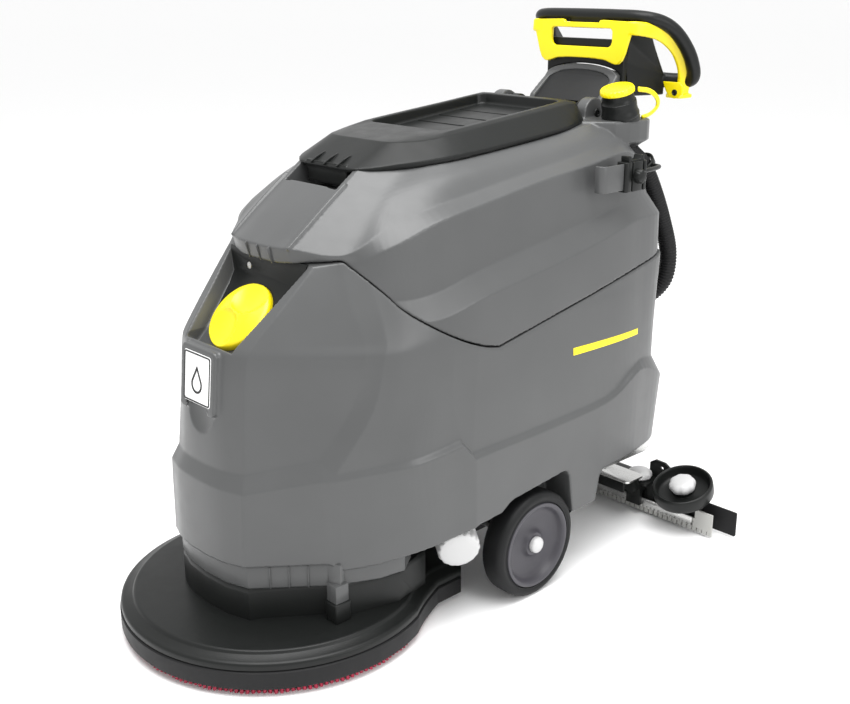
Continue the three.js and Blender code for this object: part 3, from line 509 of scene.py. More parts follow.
def tilted(thing, centre, angle):
    """Leans a piece about the line through centre that runs along x."""
    pivot = Matrix.Translation(metres(*centre))
    thing.data.transform(pivot @ Matrix.Rotation(angle, 4, "X") @ pivot.inverted())
    return thing


def lobed(name, profile, centre, axis, lobes, steps=120):
    """A turned solid waved into lobes; a profile point is (radius, height, depth of the wave)."""
    thing = turned(name, [(r, h) for r, h, _ in profile], centre, axis, steps)
    u, v, _ = frame_of(axis)
    index = 0
    for r, _, depth in profile:
        if r <= 1e-6:
            index += 1
            continue
        for i in range(steps):
            angle = 2 * math.pi * i / steps
            shrink = depth * (0.5 - 0.5 * math.cos(lobes * angle)) ** 1.5
            away = (u * math.cos(angle) + v * math.sin(angle)) * (-shrink / 1000)
            thing.data.vertices[index + i].co += away
        index += steps
    return shade(thing, 40)


HOSE_PITCH, HOSE_DEPTH = 6.4, 2.2


def hose_wave(walked):
    """How far the hose's wall is drawn in at a distance along it."""
    return HOSE_DEPTH * (0.5 + 0.5 * math.cos(2 * math.pi * walked / HOSE_PITCH))


def ribbed_hose(name, route, radius):
    """A corrugated hose: its radius rises and falls along a smooth line."""
    line = [Vector(p) for p in curve_points(route, 24)]
    lengths = [0.0]
    for a, b in zip(line, line[1:]):
        lengths.append(lengths[-1] + (b - a).length)
    count = int(lengths[-1] / (HOSE_PITCH / 4))
    path, index = [], 0
    for k in range(count + 1):
        wanted = lengths[-1] * k / count
        while index + 2 < len(lengths) and lengths[index + 1] < wanted:
            index += 1
        part = (wanted - lengths[index]) / max(lengths[index + 1] - lengths[index], 1e-9)
        path.append(line[index].lerp(line[index + 1], part))
    return shade(tube(name, path, radius, 20, 1, lambda angle, walked: radius - hose_wave(walked)))


# ---- the two tank shells ----
def at_height(z, points):
    """A row of points that all lie at one height."""
    return [(x, y, z) for x, y in points]


# Each row runs round half a shell from the middle of the nose to the middle of the tail.
LOWER_ROWS = [
    [(0, -468, 171), (56, -464, 171), (102, -449, 171), (186, -345, 171), (200, -324, 157),
     (228, -271, 160), (262, -192, 172), (278, -130, 182), (285, -99, 187), (285, 150, 131),
     (284, 265, 131), (272, 372, 131), (244, 452, 131), (180, 470, 131), (0, 476, 131)],
    [(0, -464, 300), (56, -460, 300), (104, -446, 300), (184, -350, 318), (199, -330, 317),
     (240, -268, 327), (268, -218, 334), (282, -128, 346), (286, -103, 316), (287, 150, 320),
     (285, 268, 329), (276, 368, 362), (246, 474, 318), (180, 494, 312), (0, 500, 311)],
    [(0, -453, 327), (52, -449, 327), (95, -435, 327), (172, -344, 349), (196, -329, 329), (236, -266, 337),
     (262, -218, 343), (274, -128, 354), (278, -104, 324), (280, 150, 328), (278, 272, 337),
     (264, 372, 374), (240, 446, 364), (182, 464, 364), (0, 470, 364)],
    at_height(430, [(0, -446), (50, -442), (92, -425), (198, -297), (225, -274), (243, -238), (258, -190),
                (266, -140), (270, -90), (274, 120), (272, 265), (262, 365), (240, 447), (182, 466),
                (0, 472)]),
    at_height(515, [(0, -436), (50, -432), (92, -416), (212, -277), (228, -252), (240, -222), (252, -178),
                (260, -130), (265, -80), (268, 120), (266, 265), (258, 366), (240, 452), (184, 474),
                (0, 481)]),
    at_height(535, [(0, -422), (50, -419), (94, -404), (205, -272), (224, -244), (237, -213), (249, -175),
                (257, -128), (262, -80), (266, 120), (264, 265), (257, 367), (240, 454), (184, 477),
                (0, 484)]),
    at_height(600, [(0, -352), (50, -352), (108, -344), (172, -275), (195, -241), (215, -203), (232, -160),
                (244, -120), (252, -80), (260, 120), (260, 265), (255, 368), (239, 456), (186, 482),
                (0, 490)]),
    at_height(662, [(0, -290), (50, -290), (118, -286), (144, -268), (160, -246), (178, -215), (205, -150),
                (228, -115), (240, -80), (252, 120), (254, 265), (250, 362), (235, 446), (186, 470),
                (0, 478)]),
]

UPPER_ROWS = [
    [(0, -250, 430), (42, -250, 430), (100, -246, 430), (190, -262, 430), (238, -212, 440),
     (256, -150, 440), (266, -50, 440), (270, 100, 440), (268, 240, 440), (260, 350, 440), (240, 450, 440),
     (184, 470, 440), (0, 478, 440)],
    [(0, -250, 560), (42, -250, 560), (100, -246, 560), (180, -254, 566), (226, -206, 560),
     (248, -142, 560), (260, -50, 584), (262, 100, 606), (260, 240, 630), (253, 356, 652), (238, 446, 652),
     (186, 470, 654), (0, 480, 654)],
    [(0, -262, 620), (42, -262, 620), (100, -256, 620), (174, -250, 616), (212, -204, 594),
     (228, -142, 598), (235, -50, 620), (236, 100, 645), (234, 240, 666), (230, 346, 684), (218, 428, 690),
     (180, 450, 690), (0, 460, 690)],
    [(0, -322, 641), (42, -320, 641), (76, -310, 641), (150, -259, 650), (203, -214, 679), (222, -136, 709),
     (226, -34, 727), (226, 106, 748), (224, 246, 763), (218, 356, 774), (206, 410, 760), (180, 422, 756),
     (0, 430, 756)],
    [(0, -330, 672), (42, -328, 672), (76, -318, 672), (149, -266, 665), (180, -205, 703), (194, -132, 726),
     (199, -30, 742), (200, 114, 762), (199, 252, 780), (194, 356, 794), (186, 384, 798), (160, 392, 800),
     (0, 400, 800)],
    [(0, -254, 727), (42, -253, 727), (78, -247, 727), (130, -200, 728), (150, -160, 746), (166, -106, 758),
     (177, -28, 768), (180, 106, 781), (180, 246, 798), (180, 345, 812), (176, 366, 814), (150, 372, 814),
     (0, 380, 814)],
    [(0, -176, 782), (42, -176, 782), (78, -172, 781), (104, -142, 780), (122, -106, 781), (142, -62, 785),
     (150, -20, 788), (153, 100, 798), (153, 240, 811), (160, 334, 824), (150, 352, 825), (130, 356, 825),
     (0, 362, 825)],
]
NOSE_RIDGE = [(76, -319, 671), (78, -283, 699.5), (78.5, -247, 727.5), (79, -200, 762)]

SPLIT_FRONT = [(-265, 655), (-226, 607), (-203, 577), (-160, 545), (-108, 516), (-60, 497), (-28, 490)]
SPLIT_REAR = [(80, 511), (300, 549), (492, 579)]


def above_split(name, lift):
    """Everything above the line that parts the two shells, raised by lift."""
    curve = [tuple(p[:2]) for p in curve_points([(y, z, 0) for y, z in SPLIT_FRONT], 4)]
    line = [(-900, 604), (-330, 641)] + curve + SPLIT_REAR + [(900, 640)]
    outline = [(y, z + lift) for y, z in line] + [(900, 1400), (-900, 1400)]
    return side_prism(name, outline, -500, 500)


FILL_AXIS = Vector((0, -1, 1)).normalized()
FILL_PLACE = Vector((0, -353, 547))


def on_fill_axis(distance):
    return FILL_PLACE + FILL_AXIS * distance


def recess_tool():
    """Cuts the fill recess: its opening as seen from the front, above its floor as seen from the side."""
    opening = [(-66, 480), (66, 480), (66, 528), (104, 641), (104, 720), (-104, 720), (-104, 641),
               (-66, 528)]
    above_floor = [(-520, 560), (-428, 524), (-404, 506), (-322, 588), (-306, 606), (-300, 640),
                   (-300, 720), (-520, 720)]
    tool = front_prism("recess", opening, -520, -250)
    return boolean(tool, side_prism("floor", above_floor, -130, 130), "INTERSECT")


LID_PIN = {"y": 393, "z": 836}
BADGE = {"centre": (0, -448, 470), "tilt": -0.1, "face": -449.2}
WHEEL_ARCH = [(-99, 60), (-99, 185), (-92, 189), (-34, 193), (-14, 206), (-4, 209), (128, 221), (138, 219),
              (146, 208), (171, 60)]


def scoop_tool():
    """The soft hollow under the badge."""
    return ball("scoop", (0, -449, 412), 36, 9, (0, -1, 0.1))


def lower_shell():
    """The clean-water tank, with its badge pad, wheel arches, fill recess and hollow belly."""
    shell = shell_solid("lower_shell", LOWER_ROWS, station_sharp=(2, 3, 4, 7, 8), row_sharp=(1, 2))
    pad = front_prism("pad", rounded(-48, 48, 415, 521, 9), -449, -425)
    join(shell, tilted(pad, BADGE["centre"], BADGE["tilt"]))
    under_rear = side_prism("rear", [(214, 60), (238, 178), (248, 190), (600, 190), (600, 60)], -400, 400)
    cut(shell, above_split("above", 0), side_prism("arch_left", WHEEL_ARCH, 222, 400),
        side_prism("arch_right", WHEEL_ARCH, -400, -222), under_rear, recess_tool(),
        rod("fill_hole", on_fill_axis(-40), on_fill_axis(60), 40),
        block("under_front", (-104, 104), (-404, -170), (90, 200)),
        block("under_middle", (-218, 218), (-165, 380), (90, 200)), scoop_tool())
    soften(shell, 2.2, 2, 0.2)
    return finished(shell, "chassis", "body_grey", "lower_tank")


def shelf_block():
    """The rear shelf, which flares out of the tank's sides and sweeps up and out from under."""
    levels = [(752, 186, 436), (766, 189, 440), (775, 193, 446), (781, 198, 453), (785, 203, 460),
              (788, 206, 462), (824, 206, 462), (827, 204.5, 460.5)]
    rings = []
    for z, half, back in levels:
        side = [(half - 62, 318), (half - 34, 334), (half - 14, 358), (half - 4, 386), (half, 412),
                (half, back - 26), (half - 8, back - 8), (half - 28, back), (half - 60, back)]
        rings.append([(x, y, z) for x, y in side] + [(-x, y, z) for x, y in side[::-1]])
    return loft("shelf", rings)


def hinge_ear(side):
    """A rounded ear that stands up from the shell's rear and carries one of the lid's pins."""
    y, z, radius = LID_PIN["y"] - 14, LID_PIN["z"] - 2, 31
    crown = [(y + radius * math.cos(math.radians(a)), z + radius * math.sin(math.radians(a)))
             for a in range(180, -1, -10)]
    return side_prism("ear", [(340, 804)] + crown + [(424, 815)], *between(side, 100.4, 124))


def upper_shell():
    """The dirty-water tank, with the rear shelf, the lid's ears and the grip pocket at its nose."""
    shell = shell_solid("upper_shell", UPPER_ROWS, station_sharp=(2,), row_sharp=(1, 2, 3, 4))
    boolean(shell, above_split("above", 2.4), "INTERSECT")
    join(shell, shelf_block())
    for side in (1, -1):
        join(shell, hinge_ear(side), tube("ridge", side_points(NOSE_RIDGE, side), 3.4, 14, 6))
    pocket = side_prism("pocket", [(-212, 800), (-212, 746), (-150, 740), (-120, 800)], -68, 68)
    cut(shell, pocket)
    soften(shell, 2.2, 2)
    return finished(shell, "dirty_water_tank", "body_grey", "recovery_tank")


def lip_ribs():
    """Three small upright ribs on the face of the nose's overhanging lip."""
    section = [(-316, 644), (-324, 644.5), (-333, 668), (-330, 672), (-322, 672)]
    ribs = [side_prism("lip_rib", section, x - 1.3, x + 1.3) for x in (-20, 10, 40)]
    return finished(bevelled(merged("lip_ribs", *ribs), 0.5, 2), "dirty_water_tank", "body_grey")


lower_shell()
upper_shell()
lip_ribs()


# ---- foot lip, badge and fill point ----
FLANGE_OUTLINE = [(0, -458), (54, -454), (98, -440), (180, -340), (203, -332), (196, -316), (222, -262),
                  (230, -215), (205, -178), (0, -178)]
FLANGE_BOTTOM, FLANGE_TOP = 128, 170.4
RIB_FROM, RIB_TO = Vector((98, -440, 0)), Vector((180, -340, 0))
RIB_SECTION = [(-1.4, -2), (1.4, -2), (1.0, 3.2), (-1.0, 3.2)]
RING_MIDDLE_Y = -300


def ring_at(outline, z, growth=0.0):
    """An outline at a height, grown outwards from a middle line by about so many millimetres."""
    out = []
    for x, y in outline:
        away = Vector((x, y - RING_MIDDLE_Y))
        away = away.normalized() * growth if away.length > 1 else away
        out.append((0 if x == 0 else x + away.x, y + away.y, z))
    return mirrored(out)


def foot_lip():
    lip = loft("foot_lip", [ring_at(FLANGE_OUTLINE, FLANGE_BOTTOM, -1.5),
                            ring_at(FLANGE_OUTLINE, FLANGE_BOTTOM + 2),
                            ring_at(FLANGE_OUTLINE, FLANGE_TOP - 7, 0.5),
                            ring_at(FLANGE_OUTLINE, FLANGE_TOP, -1.0)])
    cut(lip, block("hollow", (-104, 104), (-404, -190), (100, 200)))
    for side in (1, -1):
        join(lip, block("leg", between(side, 182, 206), (-344, -318), (105, FLANGE_BOTTOM + 8)))
    bevelled(lip, 1.4, 2, 30)
    return finished(lip, "chassis", "body_grey", "base_flange")


def foot_ribs():
    """Three thin upright ribs on each slanting cheek of the lip."""
    along = (RIB_TO - RIB_FROM).normalized()
    outward = Vector((-along.y, along.x, 0)) * -1
    ribs = []
    for side in (1, -1):
        for share in (0.28, 0.52, 0.76):
            foot = RIB_FROM.lerp(RIB_TO, share)
            corners = [foot + along * a + outward * b for a, b in RIB_SECTION]
            rings = [[(side * c.x, c.y, z) for c in corners] for z in (FLANGE_BOTTOM + 1, FLANGE_TOP - 2)]
            ribs.append(loft("rib", rings))
    return finished(bevelled(merged("foot_ribs", *ribs), 0.5, 2), "chassis", "body_grey")


def badge():
    y = BADGE["face"]
    place = (BADGE["centre"], BADGE["tilt"])
    plate = front_prism("badge_plate", rounded(-38, 38, 428, 512, 5), y - 0.4, y + 3.2)
    finished(tilted(bevelled(plate, 0.8, 2), *place), "chassis", "badge_face", "badge_plate")
    border = front_prism("badge_border", rounded(-36.6, 36.6, 429.4, 510.6, 4), y - 1.2, y + 0.4)
    cut(border, front_prism("inside", rounded(-34.4, 34.4, 431.6, 508.4, 3), y - 9, y + 9))
    finished(tilted(border, *place), "chassis", "black_plastic")
    finished(tilted(water_drop(y), *place), "chassis", "black_plastic")


def water_drop(y):
    """A plain water drop in outline, which stands in for the plate's mark."""
    def outline(size):
        round_part = [(size * math.cos(math.radians(a)), 460 + size * math.sin(math.radians(a)))
                      for a in range(-200, 21, 10)]
        return round_part + [(0, 460 + size * 2.05)]
    drop = front_prism("badge_drop", outline(15), y - 1.2, y + 0.4)
    return cut(drop, front_prism("inside", outline(11.5), y - 9, y + 9))


def recess_back():
    """The dark lining over the recess's back wall and the top of its floor."""
    lining = side_prism("recess_panel", [(-356, 555.5), (-322, 589.6), (-307.6, 607), (-303.4, 649),
                                         (-299, 649), (-302, 604), (-317, 586), (-352, 551)], -106, 106)
    opening = [(-64, 520), (64, 520), (66, 530), (103.4, 641), (104, 660), (-104, 660), (-103.4, 641),
               (-66, 530)]
    boolean(lining, front_prism("opening", opening, -420, -250), "INTERSECT")
    cut(lining, rod("peephole", (-50, -330, 622), (-50, -280, 622), 6.5))
    finished(bevelled(lining, 0.8, 2), "chassis", "black_plastic", "fill_recess_panel")
    button = [(0, 0), (6.2, 0), (6.2, 3), (4, 4.5), (0, 5)]
    plug = turned("peephole_plug", button, (-50, -302, 622), (0, -1, 0), 32)
    finished(shade(plug, 40), "chassis", "white_plastic")


def fill_cap():
    profile = [(0, 1), (57, 1), (61, 2.5), (62.5, 6), (62.5, 13), (61, 17), (57, 19.5), (50, 22),
               (38, 26.5), (22, 30), (0, 31.5)]
    cap = turned("fill_cap", profile, on_fill_axis(0), FILL_AXIS, 96)
    across = Vector((1, 0, 0))
    up = FILL_AXIS.cross(across)
    for side in (1, -1):
        middle = on_fill_axis(34) + (up * 0.96 + across * 0.28) * (side * 46.5)
        cut(cap, ball("scoop", middle, 48, 20, FILL_AXIS, 96))
    plug = [(0, -5), (27, -5), (28, -4), (28, 2), (0, 2)]
    join(cap, turned("plug", plug, on_fill_axis(0), FILL_AXIS, 48))
    soften(cap, 1.4, 4)
    return finished(cap, "fill_cap", "yellow_plastic", "fill_cap")


foot_lip()
foot_ribs()
badge()
recess_back()
fill_cap()


# ---- brush deck ----
DECK = {"y": -310, "radius": 272.5, "tail": 206, "end": -48}
DECK_STEPS = 72


def deck_outline(inset):
    """The keyhole outline: a circle that necks in to a tail between the wheels."""
    radius, half = DECK["radius"] - inset, DECK["tail"] - inset * 1.1
    turn = math.asin(half / radius) + 0.32
    start = math.pi / 2 - turn
    points = []
    for i in range(DECK_STEPS + 1):
        a = -math.pi / 2 + (start + math.pi / 2) * i / DECK_STEPS
        points.append((radius * math.cos(a), DECK["y"] + radius * math.sin(a)))
    leave = points[-1]
    control, target = (leave[0] - 24, leave[1] + 36), (half, leave[1] + 92)
    for i in range(1, 13):
        t = i / 12
        points.append(tuple((1 - t) ** 2 * leave[k] + 2 * t * (1 - t) * control[k] + t * t * target[k]
                            for k in (0, 1)))
    points += [(half, DECK["end"] + inset - 8), (half - 8, DECK["end"] + inset)]
    points += [(0, DECK["end"] + inset)]
    return points


def deck_ring(inset, z):
    return mirrored([(x, y, z) for x, y in deck_outline(inset)])


TOWER_OUTLINE = [(0, -458), (54, -454), (98, -440), (107, -421), (171, -335), (197, -318), (224, -222),
                 (201, -140), (0, -128)]


def brush_deck():
    steps = [(3, 46.4), (0.5, 47.5), (0, 50), (0, 55), (0.8, 57.6), (3, 59.6), (6, 60.6), (19, 64.2),
             (20.5, 65.4), (22, 68), (23.6, 69.4), (27, 70)]
    deck = loft("brush_deck", [deck_ring(*step) for step in steps])
    tower = loft("tower", [ring_at(TOWER_OUTLINE, 62), ring_at(TOWER_OUTLINE, 118),
                           ring_at(TOWER_OUTLINE, 124, -0.6), ring_at(TOWER_OUTLINE, 127.4, -3)])
    join(deck, tower)
    cut(deck, block("motor_room", (-104, 104), (-404, -165), (70, 200)),
        rod("hole", (0, DECK["y"], 0), (0, DECK["y"], 100), 24))
    return finished(shade(deck, 32), "chassis", "black_plastic", "brush_deck")


def deck_foot(side):
    """The dark foot that the lip's leg stands on."""
    foot = block("deck_foot", between(side, 179, 209), (-347, -315), (69, 104.6))
    return finished(bevelled(foot, 3, 3), "chassis", "black_plastic")


def splash_skirt():
    section = [(0.5, 45.8), (-2, 44), (-2, 18), (-1, 14.6), (1, 14), (4, 14), (5.5, 15), (6, 18), (6, 45.8)]
    skirt = loft("splash_skirt", [deck_ring(*point) for point in section], loop=True)
    return finished(shade(skirt, 50), "chassis", "black_rubber", "splash_skirt")


def brush_back():
    profile = [(0, 34.2), (247, 34.2), (252, 36), (255, 40), (254, 44), (120, 46), (40, 52), (24, 56),
               (21, 62), (20, 70), (0, 70)]
    plate = turned("brush_plate", profile, (0, DECK["y"], 0), steps=128)
    return finished(shade(plate, 40), "brush", "black_plastic", "brush_plate")


def bristles():
    """Rings of nylon tufts that splay outwards towards the floor."""
    points, faces = [], []
    for ring, radius in enumerate((160, 176, 192, 208, 224, 240, 249)):
        count = int(2 * math.pi * radius / 8.6)
        for i in range(count):
            angle = 2 * math.pi * (i + 0.5 * (ring % 2)) / count
            lean = 2 + 9 * (radius - 150) / 100 + 1.6 * math.sin(7.3 * i + ring)
            tuft(points, faces, angle, radius, lean)
    return finished(add_object("brush_bristles", mesh_from("brush_bristles", points, faces)), "brush",
                    "bristle_red", "brush_bristles")


TUFT_SIDES = 6


def tuft(points, faces, angle, radius, lean):
    """Adds one tuft of bristles, which thickens and leans outwards towards the floor."""
    first, sides = len(points), TUFT_SIDES
    for z, thick, out in ((33.8, 1.9, 0), (16, 2.4, lean * 0.42), (0.4, 3.1, lean)):
        cx, cy = (radius + out) * math.cos(angle), DECK["y"] + (radius + out) * math.sin(angle)
        for k in range(sides):
            a = 2 * math.pi * k / sides
            points.append((cx + thick * math.cos(a), cy + thick * math.sin(a), z))
    faces.append([first + k for k in range(sides)][::-1])
    for level in (0, 1):
        low = first + level * sides
        faces += [[low + k, low + (k + 1) % sides, low + sides + (k + 1) % sides, low + sides + k]
                  for k in range(sides)]
    faces.append([first + 2 * sides + k for k in range(sides)])


brush_deck()
deck_foot(1)
deck_foot(-1)
splash_skirt()
brush_back()
bristles()


# ---- wheels and casters ----
WHEEL = {"radius": 100, "outer": 291.5, "inner": 241.5, "rim": 81}


def main_wheel(name, side):
    outer, inner, rim, radius = WHEEL["outer"], WHEEL["inner"], WHEEL["rim"], WHEEL["radius"]
    tyre = [(rim, inner + 3), (88, inner), (95, inner + 2), (99, inner + 7), (radius, inner + 14),
            (radius, outer - 14), (99, outer - 7), (96.5, outer - 3), (93, outer - 1), (88, outer - 0.2),
            (85.5, outer - 1.6), (83.5, outer - 1.6), (82, outer - 0.4), (rim, outer - 2), (rim, inner + 3)]
    dish = [(8.4, inner - 6), (32, inner - 6), (35, inner - 3), (36, inner + 6), (78, inner + 4),
            (rim - 0.2, inner + 6), (rim - 0.2, outer - 3), (79.5, outer + 0.4), (76, outer + 0.8),
            (73, outer - 0.6), (70.5, outer - 5), (68.5, outer - 11), (65, outer - 15), (58, outer - 17.5),
            (44, outer - 19), (30, outer - 18), (25, outer - 15.5), (23, outer - 11), (21, outer - 8.5),
            (8.4, outer - 8.5), (8.4, inner - 6)]
    cap = [(0, outer - 8), (14.6, outer - 8), (15, outer - 7), (15, outer - 1.5), (14, outer + 1),
           (10, outer + 3.2), (0, outer + 4)]
    centre = (0, AXLE_Y, radius)
    pieces = (("tyre_", tyre, 128, "tyre_rubber"), ("rim_", dish, 128, "rim_plastic"),
              ("cap_", cap, 64, "white_plastic"))
    for piece, profile, steps, slot in pieces:
        thing = shade(turned(piece + name, profile, centre, (side, 0, 0), steps), 50)
        finished(thing, "wheel_" + name, slot, "wheel_" + piece + name)


CASTER = {"x": 112, "y": 322, "radius": 36, "half": 14, "trail": 22}


def caster(name, side):
    x, y, r, half = side * CASTER["x"], CASTER["y"], CASTER["radius"], CASTER["half"]
    axle_y = y + CASTER["trail"]
    tread = [(4.4, -half + 1), (22, -half + 1), (24, -half), (r - 5, -half), (r - 1, -half + 4), (r, 0),
             (r - 1, half - 4), (r - 5, half), (24, half), (22, half - 1), (4.4, half - 1),
             (4.4, -half + 1)]
    finished(shade(turned("caster_wheel_" + name, tread, (x, axle_y, r), (1, 0, 0), 64), 40),
             "caster_wheel_" + name, "black_rubber", "caster_wheel_" + name)
    cheek = [(y - 18, 92), (y + 16, 92), (axle_y + 11, r + 8), (axle_y + 10, r - 6), (axle_y + 4, r - 11),
             (axle_y - 4, r - 11), (axle_y - 10, r - 6), (axle_y - 13, r + 8)]
    fork = block("caster_fork_" + name, (x - 20, x + 20), (y - 20, y + 20), (90, 102))
    join(fork, side_prism("cheek", cheek, x + 16, x + 20), side_prism("cheek", cheek, x - 20, x - 16),
         rod("axle", (x - 22, axle_y, r), (x + 22, axle_y, r), 4, 24),
         rod("stem", (x, y, 98), (x, y, 160), 8, 32))
    finished(bevelled(fork, 0.8, 2), "caster_" + name, "steel", "caster_fork_" + name)


for name, side in (("left", 1), ("right", -1)):
    main_wheel(name, side)
    caster(name, side)


# ---- filter cap ----
FILTER_AXIS = Vector((0.82, -0.5, -0.28)).normalized()
FILTER_PLACE = (230, -97, 152)


def filter_cap():
    profile = [(0, 0.6, 0), (34, 0.6, 0), (37.5, 2, 0), (38, 5, 0), (38, 9, 0), (37, 10.5, 0),
               (38, 12, 2.6), (38, 33, 2.8), (37.2, 36.4, 2.4), (35, 38.8, 0.8), (32, 39.8, 0),
               (20, 40.4, 0), (0, 40.6, 0)]
    cap = lobed("filter_cap", profile, FILTER_PLACE, FILTER_AXIS, 16)
    return finished(cap, "filter_cap", "white_plastic", "filter_cap")


filter_cap()


# ---- lid ----
LID = {"rim": 790.6, "slope": 0.0895}
LID_OUTLINE = [(0, -176), (50, -176), (72, -172), (97, -152), (116, -122), (136, -78), (150, -22),
               (154, 60), (154, 200), (149, 286), (129, 334), (0, 344)]
LID_ROWS = [
    [(x, y, LID["rim"] + LID["slope"] * y) for x, y in LID_OUTLINE],
    [(0, -181, 781), (50, -181, 781), (73, -177, 782), (99, -155, 785), (118, -124, 789), (138, -78, 793),
     (151, -24, 797), (155, 60, 803), (155, 200, 815), (150, 286, 824), (130, 334, 829), (0, 345, 830)],
    [(0, -108, 820), (50, -108, 820), (73, -104, 820), (86, -94, 820), (97, -78, 820), (111, -48, 822),
     (119, -12, 826), (121, 60, 834), (121, 200, 848), (121, 296, 858), (115, 330, 860), (0, 334, 861)],
    [(0, -16, 829), (50, -16, 829), (74, -16, 829), (88, -15, 829), (97, -14, 829), (105, -8, 830),
     (110, 4, 832), (111, 60, 838), (111, 200, 852), (111, 296, 862), (106, 312, 864), (0, 314, 864)],
]


def lid_tray():
    floor = [(0, 6, 812), (84, 6, 812), (94, 9, 812), (98, 18, 813), (100, 288, 842), (96, 296, 843),
             (88, 299, 843), (0, 299, 843)]
    top = [(0, 2, 880), (88, 2, 880), (99, 6, 880), (103, 16, 880), (105, 292, 880), (100, 301, 880),
           (90, 305, 880), (0, 305, 880)]
    return loft("tray", [mirrored(floor), mirrored(top)])


def lid():
    cover = shell_solid("lid", LID_ROWS, station_sharp=(), row_sharp=(1, 2, 3), per_row=4)
    cut(cover, lid_tray())
    cut(cover, side_prism("underside", [(-90, 760), (-90, 796), (300, 832), (300, 760)], -116, 116))
    for side in (1, -1):
        x0, x1 = between(side, 78, 99)
        y, z = LID_PIN["y"], LID_PIN["z"]
        join(cover, rod("knuckle", (x0, y, z), (x1, y, z), 22, 48),
             block("neck", (x0, x1), (320, y), (826, 848)))
    join(cover, side_prism("skirt", [(-178, 786), (-170, 786), (-166, 752), (-174, 750)], -52, 52))
    soften(cover, 2.0, 2)
    return finished(cover, "lid", "black_plastic", "tank_lid")


def lid_details():
    """Small ribs at the lid's nose, and the low lines across the floor of its tray."""
    ribs = []
    nose_rib = [(-180, 781), (-183.5, 784), (-170, 792), (-150, 799)]
    for x in (-34, 0, 34):
        ribs.append(side_prism("nose_rib", nose_rib, x - 1.6, x + 1.6))
    for y in (64, 120, 176, 232):
        z = 812 + (y - 6) * (30.0 / 290)
        section = [(y - 2, z - 1), (y + 2, z - 1), (y + 1.4, z + 1.8), (y - 1.4, z + 1.4)]
        ribs.append(side_prism("tray_line", section, -92, 92))
    return finished(bevelled(merged("lid_details", *ribs), 0.4, 2), "lid", "black_plastic")


def hinge_screw(side):
    centre = (side * 124, LID_PIN["y"] - 7, LID_PIN["z"])
    profile = [(0, -4), (9, -4), (9, 0), (8, 1.5), (5, 2), (4, 0.6), (0, 0.6)]
    head = turned("hinge_screw", profile, centre, (side, 0, 0), 48)
    return finished(shade(head, 40), "dirty_water_tank", "black_plastic")


lid()
lid_details()
hinge_screw(1)
hinge_screw(-1)


# ---- console, handle and lever ----
def console_arch(name, inset, y0, y1):
    """The console's front outline: straight sides under one low arch, drawn in by an inset."""
    half, crown = 92.4 - inset, 917 - inset
    arch = [(half * math.sin(math.radians(a)), crown - 24 * (1 - math.cos(math.radians(a))))
            for a in range(80, -1, -8)]
    side = [(half, 826)] + arch
    return front_prism(name, side + [(-x, z) for x, z in side[-2::-1]], y0, y1)


CONSOLE_SIDE = [(428, 827), (431, 845), (436, 856), (478, 889), (486, 899), (489.5, 918), (493.4, 918),
                (493.4, 906), (516, 906), (516, 827)]


def console():
    body = side_prism("console", CONSOLE_SIDE, -92.4, 92.4)
    boolean(body, console_arch("arch", 0, 400, 540), "INTERSECT")
    recess = side_prism("recess", [(390, 842), (410, 866), (464, 906), (476, 930), (492, 930), (490.5, 899),
                                   (486, 883), (440, 841)], -81, 81)
    boolean(recess, console_arch("opening", 11.5, 380, 540), "INTERSECT")
    cut(body, recess)
    soften(body, 1.9, 2)
    finished(body, "dirty_water_tank", "body_grey", "console_housing")
    insert = side_prism("console_insert", [(435.5, 849), (477, 883.5), (485.5, 897), (489, 912),
                                           (492.6, 912), (491, 896), (486, 880), (443, 845)], -80.6, 80.6)
    boolean(insert, console_arch("opening", 12, 380, 540), "INTERSECT")
    finished(bevelled(insert, 0.8, 2), "dirty_water_tank", "dark_plastic", "console_insert",
             material=INSERT)


DIAL = {"x": 36, "y": 524, "z": 868, "ring": 24}


def panel_and_knob():
    panel = front_prism("control_panel", rounded(-80, 80, 836, 898, 9), 516.4, DIAL["y"])
    finished(bevelled(panel, 1.6, 3), "dirty_water_tank", "black_plastic", "control_panel")
    profile = [(0, 0.4, 0), (20, 0.4, 0), (20.5, 2, 0), (19.5, 5, 1.2), (18.5, 15, 1.4), (16.5, 17.5, 0.8),
               (12, 18, 0), (0, 18, 0)]
    knob = lobed("control_knob", profile, (DIAL["x"], DIAL["y"], DIAL["z"]), (0, 1, 0), 18)
    finished(knob, "control_knob", "yellow_plastic", "control_knob")
    marks = []
    for k in range(9):
        a = math.radians(-120 + 30 * k)
        x, z = DIAL["x"] + DIAL["ring"] * math.sin(a), DIAL["z"] + DIAL["ring"] * math.cos(a)
        marks.append(rod("dot", (x, DIAL["y"], z), (x, DIAL["y"] + 0.9, z), 1.4, 12))
    finished(merged("dial_dots", *marks), "dirty_water_tank", "white_plastic")


HANDLE = {"top_z": 1010, "top_y": 508, "tube": 14.2}
SWEEP = [(128, 514, 1008), (152, 540, 1000), (166, 567, 982), (176, 598, 946), (178, 618, 911),
         (172, 626, 892), (154, 626, 885), (104, 610, 885)]


def grip_shape(angle, walked):
    """The grip is a little flatter than round."""
    return HANDLE["tube"] * (1 + 0.06 * math.cos(2 * angle))


